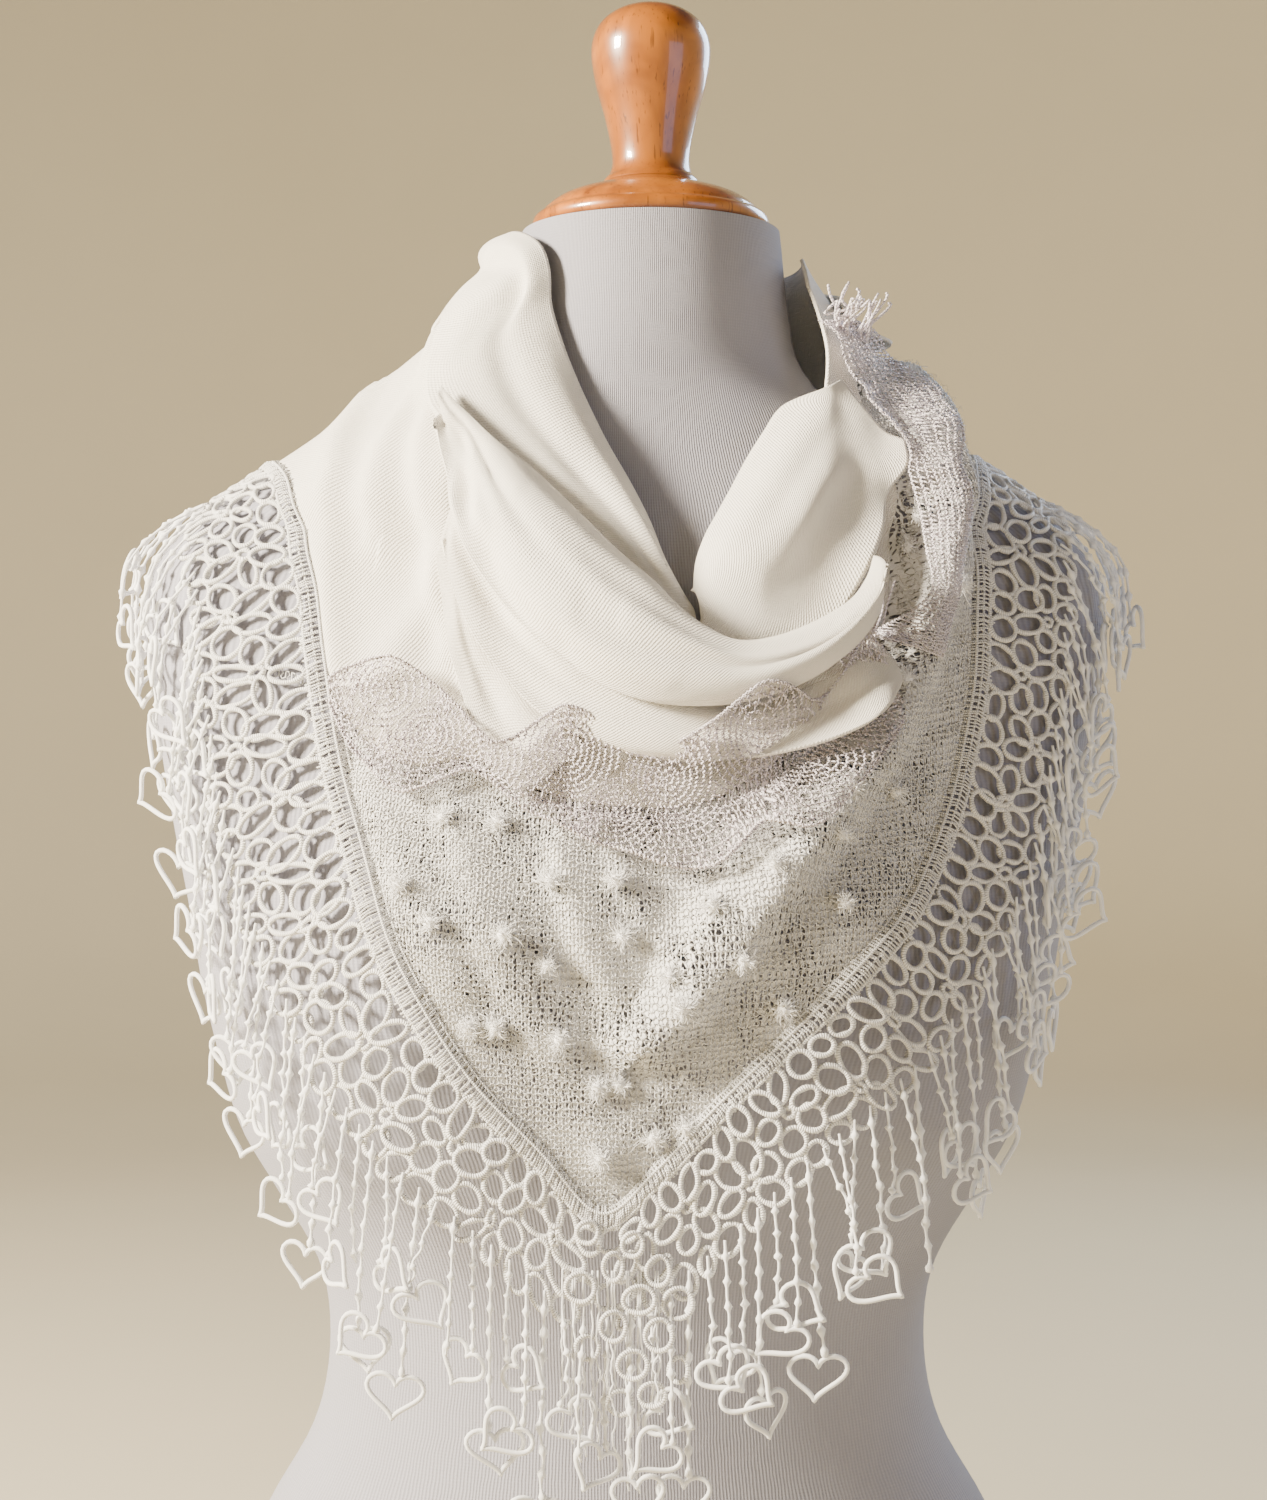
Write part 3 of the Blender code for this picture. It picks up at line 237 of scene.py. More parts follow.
def read_profile(table, angle, reach):
    """A drape profile between its rows and columns."""
    along = np.mod(np.asarray(angle, float) + 180, 360) / ANGLE_STEP
    down = np.clip(np.asarray(reach, float) / REACH_STEP, 0, len(REACHES) - 1.001)
    i, j = np.floor(along).astype(int), np.floor(down).astype(int)
    i = np.clip(i, 0, len(DRAPE_ANGLES) - 2)
    u, v = along - i, down - j
    near = table[i, j] * (1 - v) + table[i, j + 1] * v
    far = table[i + 1, j] * (1 - v) + table[i + 1, j + 1] * v
    return near * (1 - u) + far * u


def drape_point(angle, reach, out):
    """A point off the drape by `out`, square to the cloth."""
    angle, reach, out = np.broadcast_arrays(
        np.asarray(angle, float), np.asarray(reach, float), np.asarray(out, float)
    )
    radius = read_profile(DRAPE_RADIUS, angle, reach)
    height = read_profile(DRAPE_HEIGHT, angle, reach)
    above, below = reach - SLOPE_RUN, reach + SLOPE_RUN
    wider = read_profile(DRAPE_RADIUS, angle, below) - read_profile(DRAPE_RADIUS, angle, above)
    lower = read_profile(DRAPE_HEIGHT, angle, above) - read_profile(DRAPE_HEIGHT, angle, below)
    size = np.hypot(wider, lower)
    return place(angle, radius + out * lower / size, height + out * wider / size)


# The edges of the cloth on the drape: the hem that the edging is sewn to with the edging's
# outer edge across from it, the seam between wool and knit, and the wool's upper edge.
Hem = namedtuple("Hem", "station angle reach edge_angle edge_reach")
HEM = table(Hem, [
    (-12.0, -180, 150, -180, 195), (-11.0, -150, 148, -150, 193), (-10.0, -120, 142, -122, 187),
    (-9.0, -95, 136, -98, 178), (-8.0, -71, 140, -81, 177), (-7.0, -60, 168, -73, 206),
    (-6.0, -54, 200, -70, 237), (-5.0, -47.5, 240, -66, 278), (-4.0, -38, 284, -58, 322),
    (-3.0, -30.5, 322, -47, 360), (-2.0, -23, 352, -35, 392), (-1.0, -13.5, 376, -21, 419),
    (0.0, -4, 398, -5, 444), (1.0, 5, 382, 11, 426), (2.0, 14, 360, 23.5, 399), (3.0, 25, 334, 36, 372),
    (4.0, 34, 312, 48, 350), (5.0, 43, 289, 58, 322), (6.0, 51.5, 258, 66, 292),
    (7.0, 57.5, 223, 70, 252), (8.0, 62, 187, 73, 216), (9.0, 67, 155, 77, 187), (10.0, 80, 133, 86, 172),
    (11.0, 101, 130, 103, 172), (12.0, 122, 136, 124, 181), (13.0, 150, 146, 151, 191),
    (14.0, 180, 150, 180, 195),
])

LEFT_SHOULDER, TIP, RIGHT_SHOULDER, BACK_MIDDLE = -9.0, 0.0, 11.0, 14.0
WHOLE_TURN = HEM[-1].station - HEM[0].station

Seam = namedtuple("Seam", "angle reach hem_station")
SEAM = table(Seam, [
    (-52, 213, -5.45), (-45, 229, -4.7), (-38.5, 236, -4.1), (-27, 231, -3.0), (-17, 240, -2.0),
    (-8, 245, -1.0), (3, 247, 0.0), (13, 246, 1.0), (22, 238, 2.0), (31, 226, 3.0), (38, 217, 4.0),
    (44, 207, 5.0), (48, 192, 6.0), (51, 176, 7.0), (54, 157, 7.8), (57, 138, 8.5), (61, 107, 9.2),
    (66, 72, 9.9), (78, 52, 10.6), (100, 60, 11.4), (125, 84, 12.2), (150, 141, 13.0),
])

WoolTop = namedtuple("WoolTop", "angle reach")
WOOL_TOP = table(WoolTop, [
    (-180, 14), (-75, 14), (-64, 24), (-54, 44), (-38, 76), (-18, 106), (-1, 134), (8, 158), (16, 176),
    (23, 152), (36, 116), (46, 97), (54, 84), (60, 60), (67, 28), (78, 14), (180, 14),
])

# Folds: a ridge along a line on the drape, soft on one side and steeper on the other.
Fold = namedtuple("Fold", "points height left_width right_width")
KNIT_FOLDS = {
    "roll": Fold(
        [(92, 84), (68, 128), (59, 167), (51.5, 200), (41, 238), (27, 270), (17, 297), (10, 319),
         (4, 334)], 14, 14, 8
    ),
    "left_edge": Fold([(-11, 262), (-6, 300), (-1, 320), (4, 334)], 5, 6, 16),
    "under_tip": Fold([(-19, 300), (-9, 338), (-4, 372)], 2.5, 12, 12),
    "outer": Fold([(56, 232), (43, 272), (24, 316)], 2, 14, 14),
}
WOOL_FOLDS = {
    "crease": Fold([(-76, 30), (-51, 92), (-42, 143), (-34, 190)], 7, 7, 18),
    "left_edge": Fold([(-76, 92), (-63, 128), (-58, 165), (-52.5, 204)], 6, 14, 5),
    "back_left": Fold([(-120, 30), (-112, 80), (-108, 128)], 3.5, 14, 14),
    "back_right": Fold([(140, 28), (150, 80), (158, 130)], 3.5, 14, 14),
    "back_middle": Fold([(-172, 40), (-165, 90), (-162, 134)], 3, 16, 12),
}
WOOL_RIPPLES = {
    "panel_low": Fold([(-44, 196), (-38, 150), (-40, 110)], 3.6, 7, 9),
    "panel_high": Fold([(-64, 60), (-58, 100), (-52, 150)], 4.2, 7, 9),
    "front_low": Fold([(-24, 196), (-12, 216), (4, 226)], 1.8, 9, 9),
    "back_far": Fold([(110, 30), (118, 80), (121, 128)], 2.4, 12, 12),
    "back_near": Fold([(-146, 30), (-140, 84), (-138, 134)], 2.6, 12, 10),
}
KNIT_RIPPLES = {
    "left_high": Fold([(-42, 246), (-34, 280), (-24, 318)], 2.2, 8, 6),
    "left_low": Fold([(-30, 244), (-22, 290), (-12, 340)], 2.4, 6, 9),
    "middle": Fold([(-2, 262), (3, 292), (8, 308)], 2.6, 5, 8),
    "right": Fold([(18, 256), (16, 276), (11, 300)], 2.2, 7, 5),
    "roll_low": Fold([(62, 176), (56, 208), (44, 246)], 1.8, 6, 8),
    "tip": Fold([(14, 330), (5, 356), (-2, 380)], 2.0, 8, 8),
}

# The eyes that the ruffle's rounds go about: how far below the seam each lies, and how much
# smaller its rounds are than its neighbours'.
RuffleEye = namedtuple("RuffleEye", "angle below pull")
RUFFLE_EYES = table(RuffleEye, [
    (-48, -5, 1.3), (-41.5, -24, 1), (-34, -12, 1.1), (-24, -2, 1), (-10, -17, 0.9), (-2, 2, 1.2),
    (7.5, -9, 1), (20.5, -15, 0.9), (29, 4, 1), (38.5, 0, 1),
])
ThreadBunch = namedtuple("ThreadBunch", "angle reach out to_angle to_reach to_out count spread")
THREAD_BUNCHES = table(ThreadBunch, [
    (64, 58, 7, 57, 52, 19, 14, 4), (69, 62, 8, 70, 52, 19, 9, 4), (43, 196, 6, 35, 188, 22, 7, 3),
    (44.5, 192, 7, 45.5, 166, 16, 5, 3),
])

# The loops of wool round the neck: each is a band that swells between an upper and a lower
# edge. A row gives the three places at one crossing of the band.
Crossing = namedtuple(
    "Crossing",
    "top_angle top_height top_radius belly_angle belly_height belly_radius"
    " foot_angle foot_height foot_radius",
)
LOOPS = {
    "wool_fold_low": table(Crossing, [
        (-37, 540, 100, -38, 532, 102, -39, 522, 102), (-28, 505, 110, -32, 500, 113, -34, 490, 110),
        (-22, 480, 114, -27, 474, 118, -29, 462, 115), (-14, 458, 117, -20, 452, 122, -24, 441, 119),
        (-6, 446, 119, -12, 439, 122, -18, 431, 120),
    ]),
    "wool_fold_middle": table(Crossing, [
        (-36, 541, 98, -36, 534, 101, -36, 526, 100), (-30, 532, 104, -32, 521, 109, -33, 509, 106),
        (-20, 512, 108, -24, 498, 119, -26, 484, 114), (-10, 488, 112, -14, 476, 123, -17, 463, 117),
        (1, 474, 116, -3, 461, 126, -6, 449, 120), (13, 464, 120, 9, 453, 130, 6, 442, 122),
        (24, 462, 124, 22, 452, 133, 20, 443, 126), (34, 472, 128, 34, 463, 135, 33, 453, 130),
        (44, 489, 132, 44, 480.5, 140, 43, 470, 137),
    ]),
    "wool_loop_inner": table(Crossing, [
        (-284, 632, 61, -284, 625, 64, -284, 618, 66), (-258, 640, 62, -257, 629, 68, -256, 616, 71),
        (-220, 651, 62, -219, 635, 75, -218, 612, 79), (-180, 655, 63, -180, 638, 78, -180, 612, 82),
        (-140, 658, 63, -140, 642, 79, -140, 616, 83), (-110, 660, 62, -110, 646, 76, -110, 620, 80),
        (-84, 660, 62, -88, 645, 74, -92, 622, 77), (-60, 657, 61, -66, 643, 73, -76, 625, 76),
        (-44, 646, 61, -50, 636, 72, -63, 616, 77), (-38, 624, 63, -44, 610, 75, -54, 592, 80),
        (-25, 600, 65, -31, 584, 80, -38, 566, 84), (-9, 572, 69, -13, 555, 84, -18, 540, 87),
        (4, 543, 78, 1, 529, 92, -1, 517, 95), (10, 519, 88, 9, 507, 101, 8, 497, 104),
        (15, 500, 95, 15, 492, 104, 15, 484, 107),
    ]),
    "wool_tuck_right": table(Crossing, [
        (14, 507, 98, 15, 500, 107, 16, 484, 110), (18, 526, 94, 24, 511, 116, 27, 482, 117),
        (25, 543, 90, 32, 525, 119, 37, 492, 127), (34, 563, 87, 40, 546, 118, 46, 522, 133),
        (46, 584, 85, 50, 566, 113, 54, 548, 126), (55, 593, 86, 57, 581, 104, 59, 568, 116),
    ]),
    "wool_loop_outer": table(Crossing, [
        (-45, 588, 86, -44, 582, 90, -43, 574, 91), (-38, 578, 90, -39, 568, 100, -40, 557, 99),
        (-31, 567, 92, -32, 552, 110, -34, 536, 107), (-24, 557, 93, -25, 534, 119, -27, 513, 115),
        (-16, 545, 96, -17, 513, 127, -18, 492, 121), (-9, 534, 98, -10, 501, 131, -11, 481, 123),
        (-2, 522, 102, -4, 491, 134, -6, 472, 125), (6, 509, 108, 3, 483, 137, 1, 465, 127),
        (13, 495, 114, 11, 478, 140, 9, 462, 129), (21, 487, 121, 19, 476, 143, 18, 463, 133),
        (31, 492, 126, 29, 484, 147, 28, 470, 138), (41, 506, 131, 38, 500, 149, 37, 485, 142),
        (44.5, 520, 133, 43, 514, 144, 42.5, 497, 141),
    ]),
}

# The ruffle: how far it stands above and below the seam, and off the cloth, at the top of
# each dome and in each dip between two domes.
Wave = namedtuple("Wave", "angle above below top_out low_out")
RUFFLE = table(Wave, [
    (-51, 4, 2, 3, 4), (-46.5, 24, 3, 8, 6), (-41, 36, 6, 14, 5), (-36, 33, 14, 8, 8),
    (-31, 23, 13, 5, 9), (-27, 14, 6, 6, 5), (-22, 11, 7, 4, 6), (-17, 20, 10, 11, 4),
    (-10.5, 31, 13, 19, 8), (-5, 28, 16, 17, 5), (1, 21, 20, 14, 10), (7, 19, 26, 15, 12),
    (14, 23, 26, 29, 7), (20.5, 28, 18, 35, 8), (25.5, 20, 26, 32, 5), (29.5, 12, 31, 23, 11),
    (34, 11, 25, 17, 8), (38.5, 18, 17, 19, 5), (42.6, 30, 10, 19, 5),
])
Frill = namedtuple("Frill", "inner_angle inner_reach outer_angle outer_reach out")
SHOULDER_FRILL = table(Frill, [
    (58, 50, 70, 49, 4), (58, 62, 76, 64, 9), (59, 78, 76, 82, 4), (58, 94, 71, 100, 9),
    (57, 112, 65, 116, 4), (56, 128, 61, 131, 7), (54, 144, 59, 147, 4), (52, 160, 57, 162, 7),
    (50, 174, 55, 177, 4), (46, 186, 53, 190, 8), (43.7, 190, 51, 202, 5),
])

# The layers of the solid cloth, from the form outwards, and the bands of wool that go over the
# first of them, as many as their layer says.
LAYERS = [
    "wool_left",
    "wool_front",
    "wool_back",
    "knit_front",
    "knit_shoulder",
    "wool_fold_low",
    "ruffle_front",
    "wool_fold_middle",
    "wool_loop_inner",
    "wool_tuck_right",
    "ruffle_shoulder",
    "wool_loop_outer",
]
Band = namedtuple("Band", "piece node layer steps across cut_length cut_width")
BANDS = table(Band, [
    ("low_fold", "wool_fold_low", 5, 8, 5, 0.1, 0.027),
    ("middle_fold", "wool_fold_middle", 7, 14, 5, 0.19, 0.035),
    ("inner_loop", "wool_loop_inner", 8, 26, 5, 0.51, 0.045),
    ("right_tuck", "wool_tuck_right", 9, 10, 5, 0.115, 0.058),
    ("outer_loop", "wool_loop_outer", 11, 20, 7, 0.22, 0.05),
])
# Soft creases along the bands. Ends are shares of the band's length and width, the rest is in
# millimetres.
Crease = namedtuple("Crease", "from_along from_across to_along to_across width depth")
CREASES = {
    "wool_loop_outer": table(Crease, [
        (0.02, 0.34, 0.5, 0.5, 5, -3.4), (0.3, 0.3, 0.85, 0.36, 5, -2.6),
        (0.45, 0.62, 0.98, 0.52, 5, -3.2), (0.08, 0.7, 0.6, 0.8, 4, 1.8),
    ]),
    "wool_loop_inner": table(Crease, [
        (0.0, 0.4, 0.35, 0.5, 6, -3.4), (0.3, 0.55, 0.62, 0.45, 6, -3.2), (0.6, 0.42, 0.98, 0.5, 5, -2.8),
        (0.2, 0.25, 0.6, 0.3, 4, 1.6),
    ]),
    "wool_fold_middle": table(Crease, [
        (0.05, 0.55, 0.6, 0.6, 4, -2.3), (0.4, 0.4, 0.95, 0.5, 4, -2.0),
    ]),
    "wool_fold_low": table(Crease, [
        (0.1, 0.5, 0.9, 0.55, 3, -1.2),
    ]),
    "wool_tuck_right": table(Crease, [
        (0.15, 0.3, 0.9, 0.35, 7, -3.4), (0.25, 0.62, 0.8, 0.7, 7, -3.2),
    ]),
}

# Where the bobbles sit on the knit.
Bobble = namedtuple("Bobble", "angle reach size")
BOBBLES = table(Bobble, [
    (-38, 242, 1.0), (-29.5, 257, 0.9), (-21.5, 256, 1.0), (-12, 277, 1.1), (-12, 307, 0.9),
    (-18, 298, 1.0), (13, 287, 1.1), (-0.5, 296, 1.0), (6.5, 310, 0.9), (8, 321, 1.1), (-23, 333, 0.9),
    (-19.5, 332, 1.0), (-1, 350, 1.0), (-4.5, 351, 0.9), (-28, 297, 1.0), (-33, 285, 0.9),
    (56.5, 181, 1.0), (46.5, 210, 1.1), (34, 251, 1.0), (32, 267, 0.9), (21.5, 276, 1.0),
    (-1.5, 276, 1.0), (55, 159, 0.9), (57.5, 147, 1.0), (48.5, 193, 1.0), (4.5, 370, 1.0),
    (9.5, 367, 0.9), (-4, 377, 1.0), (64, 117, 1.0), (61.5, 133, 0.9), (48, 184, 0.9), (-10, 334, 1.0),
    (16.5, 306, 1.0), (31.5, 291, 0.9), (23, 326, 1.0), (43, 251, 0.9), (84, 82, 1.0), (92, 106, 0.9),
    (108, 92, 1.0), (121, 112, 0.9), (74, 98, 1.0), (134, 124, 0.9),
])
TipRing = namedtuple("TipRing", "angle reach out size")
TIP_RINGS = table(TipRing, [
    (-6, 404, 5, 5.0), (1, 408, 6, 4.6), (-2, 416, 7, 5.2), (5, 418, 5, 4.8), (-7, 424, 6, 4.4),
    (2, 428, 7, 5.0), (8, 430, 5, 4.6), (-2, 438, 6, 5.0), (5, 441, 7, 4.8), (-6, 446, 5, 4.6),
    (1, 452, 6, 5.0), (8, 454, 6, 4.4), (4, 463, 6, 4.6), (-1, 466, 5, 4.4),
])

# The turned wood: rings from the bottom up.
Ring = namedtuple("Ring", "height radius")
CAP = table(Ring, [
    (NECK_TOP + 0.4, 47), (662.8, 48.6), (663.8, 49.4), (665.6, 49.8), (667.6, 49.4), (668.8, 48.4),
    (669.4, 47.2), (669.9, 46.2), (670.6, 45.9), (672, 44.6), (674, 42.4), (676, 39.4), (678, 35),
    (680, 28.6), (682, 22.6), (683, 20.8),
])
HANDLE = table(Ring, [
    (683.2, 20.4), (684.2, 20), (685.6, 18.9), (687, 17.5), (692, 16.2), (700, 17), (712, 19.6),
    (724, 23), (735, 24.9), (743, 24.6), (750, 21.5), (755, 15.5), (757.8, 8), (758.6, 0.6),
])

# The fringe: strands that take turns in length, in how far they stand off, in their hearts and
# in how many knots they have.
Strand = namedtuple("Strand", "length out spread mirrored tilt knots")
STRANDS = table(Strand, [
    (34, 3.4, 0.5, False, 6, 6), (50, 6.5, 1.5, True, -28, 8), (26, 4.4, 1, True, 25, 5),
    (42, 9, 2.5, False, -14, 7), (58, 5, 2, False, 30, 9), (22, 7.5, 3, True, 0, 4),
    (38, 10.5, 1, True, 18, 6),
])
HEART_ACROSS = 16
HEART_UP = [13, -5, -2, -1]

# The bowl that the part stands in: rings from its rim down, in metres.
BACKDROP = table(Ring, [
    (3.2, 2.8), (0.7, 2.8), (0.35, 2.72), (0.13, 2.5), (0.03, 2.2), (0, 1.8),
])


def grid_normals(grid):
    """The direction square to a grid of points, away from the form's axis."""
    down = np.gradient(grid, axis=1)
    along = np.gradient(grid, axis=0)
    normal = np.cross(down, along)
    normal /= np.linalg.norm(normal, axis=2, keepdims=True)
    outward = grid * np.array([1, 1, 0])
    turn = np.sign(np.sum(normal * outward, axis=2).mean())
    return normal * turn


def curve(rows, key, at):
    """Every column of a table at a list of places, smoothed."""
    names = [name for name in rows[0]._fields if name != key]
    return {name: smooth(rows, key, name, np.asarray(at, float)) for name in names}


def fold_relief(folds, angle, reach):
    """How far the folds lift the cloth at a place."""
    lift = np.zeros(np.broadcast(angle, reach).shape)
    for fold in folds.values():
        best = np.full(lift.shape, 1e9)
        side = np.zeros(lift.shape)
        scale = math.radians(1) * MEAN_RADIUS
        for (from_angle, from_reach), (to_angle, to_reach) in zip(fold.points, fold.points[1:]):
            run = np.array([(to_angle - from_angle) * scale, to_reach - from_reach])
            x = (angle - from_angle) * scale
            y = reach - from_reach
            t = np.clip((x * run[0] + y * run[1]) / (run @ run), 0, 1)
            away = np.hypot(x - t * run[0], y - t * run[1])
            turn = np.where(x * run[1] - y * run[0] < 0, -1, 1)
            side = np.where(away < best, turn, side)
            best = np.minimum(best, away)
        width = np.where(side < 0, fold.left_width, fold.right_width)
        lift = np.maximum(lift, fold.height * np.exp(-((best / width) ** 2)))
    return lift


def hem_place(station, across):
    """Angle and reach on the edging: across 0 is the hem, EDGING_WIDTH the outer edge."""
    station = np.asarray(station, float)
    row = curve(HEM, "station", np.where(station > HEM[-1].station, station - WHOLE_TURN, station))
    share = across / EDGING_WIDTH
    angle = row["angle"] + (row["edge_angle"] - row["angle"]) * share
    reach = row["reach"] + (row["edge_reach"] - row["reach"]) * share
    return angle, reach


def drape_lengths():
    """The way round the drape from the front to each of its angles, at each reach."""
    points = drape_point(DRAPE_ANGLES[:, None], REACHES[None, :], 0) / MM
    steps = np.linalg.norm(np.diff(points, axis=0), axis=2)
    run = np.concatenate([np.zeros((1, len(REACHES))), np.cumsum(steps, axis=0)])
    return run - run[len(DRAPE_ANGLES) // 2]


ROUND = drape_lengths()


def cloth_place(angle, reach):
    """Where a point of the drape is on its flat cloth, in metres."""
    round_it, reach = np.broadcast_arrays(read_profile(ROUND, angle, reach), reach)
    return np.stack([round_it, reach], axis=-1) * MM


def hermite(rows, count):
    """As many rows as asked, evenly spread on a smooth curve through the given ones."""
    slope = np.gradient(rows, axis=0)
    at = np.linspace(0, len(rows) - 1, count)
    i = np.clip(at.astype(int), 0, len(rows) - 2)
    t = (at - i).reshape((-1,) + (1,) * (rows.ndim - 1))
    start = (2 * t**3 - 3 * t**2 + 1) * rows[i] + (t**3 - 2 * t**2 + t) * slope[i]
    end = (3 * t**2 - 2 * t**3) * rows[i + 1] + (t**3 - t**2) * slope[i + 1]
    return start + end


def refine(grid, rows, across):
    """A grid of points with more rows and columns, on smooth curves through it."""
    grid = hermite(grid, rows)
    return hermite(grid.transpose(1, 0, 2), across).transpose(1, 0, 2)


def lay_out(grid):
    """How far each point of a grid lies along and across its flat cloth, in metres."""
    along = np.linalg.norm(np.diff(grid, axis=0), axis=2).mean(axis=1)
    across = np.linalg.norm(np.diff(grid, axis=1), axis=2).mean(axis=0)
    u = np.concatenate([[0], np.cumsum(along)])
    v = np.concatenate([[0], np.cumsum(across)])
    return np.stack(np.meshgrid(u, v, indexing="ij"), axis=-1)


def way_along(path):
    """How far along a path each of its points is."""
    return np.concatenate([[0], np.cumsum(np.linalg.norm(np.diff(path, axis=0), axis=1))])


def bumps(count, seed):
    """A slow random wave with values of about -1 to 1."""
    rng = np.random.default_rng(seed)
    at = np.linspace(0, 1, count)
    wave = np.zeros(count)
    for turns in (3, 5, 8, 13):
        wave += rng.normal() * np.sin(2 * np.pi * (turns * at + rng.random())) / turns**0.5
    return wave / 2


def make_piece(name, points, faces, corner_uv, finish):
    """A mesh object with its UV map, shaded smooth."""
    mesh = bpy.data.meshes.new(name)
    mesh.from_pydata(np.asarray(points).tolist(), [], faces)
    layer = mesh.uv_layers.new(name="UVMap")
    layer.data.foreach_set("uv", np.asarray(corner_uv, np.float32).ravel())
    mesh.shade_smooth()
    mesh.materials.append(finish)
    mesh.validate()
    made = bpy.data.objects.new(name, mesh)
    bpy.context.scene.collection.objects.link(made)
    return made


def cloth_wall(name, outer, uv, thickness, finish):
    """A sheet of cloth: its outer grid, a copy further in, and the rims between them."""
    rows, across = outer.shape[:2]
    normal = grid_normals(outer)
    points = np.concatenate([outer.reshape(-1, 3), (outer - normal * thickness * MM).reshape(-1, 3)])
    index = np.arange(rows * across).reshape(rows, across)
    quads = np.stack([index[:-1, :-1], index[1:, :-1], index[1:, 1:], index[:-1, 1:]], axis=-1)
    quads = quads.reshape(-1, 4)
    one, two = (points[quads[:, k]] - points[quads[:, 0]] for k in (1, 3))
    facing = np.sum(np.cross(one, two) * normal.reshape(-1, 3)[quads[:, 0]])
    rim = np.concatenate([index[:, 0], index[-1, 1:], index[-2::-1, -1], index[0, -2:0:-1]])
    if facing < 0:
        quads = quads[:, ::-1]
        rim = rim[::-1]
    count = rows * across
    ahead = np.roll(rim, -1)
    rims = np.stack([ahead, rim, rim + count, ahead + count], axis=-1)
    faces = np.concatenate([quads, quads[:, ::-1] + count, rims])
    flat = np.concatenate([uv.reshape(-1, 2)] * 2)
    return make_piece(name, points, faces.tolist(), flat[faces], finish)


class Cords:
    """Round cords, gathered into one mesh. Their UV is the way along, and the turn round."""

    def __init__(self):
        self.points, self.quads, self.corners, self.caps = [], [], [], []
        self.count = 0

    def add(self, path, up, radius, sides, closed=False, start=0.0):
        """A cord along a path, with the direction that its first side faces at each point."""
        along = np.gradient(path, axis=0)
        if closed:
            along = np.roll(path, -1, axis=0) - np.roll(path, 1, axis=0)
        along = along / np.maximum(np.linalg.norm(along, axis=1, keepdims=True), 1e-9)
        side = np.cross(along, up)
        side = side / np.maximum(np.linalg.norm(side, axis=1, keepdims=True), 1e-9)
        over = np.cross(side, along)
        turn = np.arange(sides) * 2 * np.pi / sides
        radius = np.broadcast_to(radius, len(path))[:, None, None] * MM
        ring = side[:, None] * np.cos(turn)[:, None] + over[:, None] * np.sin(turn)[:, None]
        self.points.append((path[:, None] + ring * radius).reshape(-1, 3))
        rings = len(path) if closed else len(path) - 1
        k = np.arange(rings)[:, None]
        i = np.arange(sides)[None, :]
        far, next_side = (k + 1) % len(path), (i + 1) % sides
        quads = [k * sides + i, far * sides + i, far * sides + next_side, k * sides + next_side]
        quads = np.stack(np.broadcast_arrays(*quads), axis=-1).reshape(-1, 4)
        self.quads.append(quads + self.count)
        steps = np.linalg.norm(np.roll(path, -1, axis=0) - path, axis=1)
        run = np.concatenate([[0], np.cumsum(steps)])[: rings + 1] + start
        u = np.stack([run[:-1], run[1:], run[1:], run[:-1]], axis=-1)[:, None]
        v = np.stack([i, i, i + 1, i + 1], axis=-1) / sides
        corner = np.stack(np.broadcast_arrays(u, v), axis=-1).reshape(-1, 4, 2)
        self.corners.append(corner)
        if not closed:
            last = self.count + (len(path) - 1) * sides
            self.caps.append(list(range(self.count, self.count + sides)))
            self.caps.append(list(range(last + sides - 1, last - 1, -1)))
        self.count += len(path) * sides

    def make(self, name, finish):
        """The mesh of all the cords."""
        faces = np.concatenate(self.quads).tolist() + self.caps
        open_ends = np.zeros((sum(len(cap) for cap in self.caps), 2))
        corners = np.concatenate([np.concatenate(self.corners).reshape(-1, 2), open_ends])
        return make_piece(name, np.concatenate(self.points), faces, corners, finish)


def on_drape(angle, reach, out):
    """Points off the drape and the direction away from it at each."""
    here = drape_point(angle, reach, out)
    away = drape_point(angle, reach, np.asarray(out) + 1) - here
    return here, away / np.linalg.norm(away, axis=-1, keepdims=True)


def settle(piece, slot, *nodes):
    """Fix a finished piece to the model and hide the nodes it stands for. The finish's name is not used."""
    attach(piece, "root")
    if nodes:
        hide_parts(*nodes)
    return piece


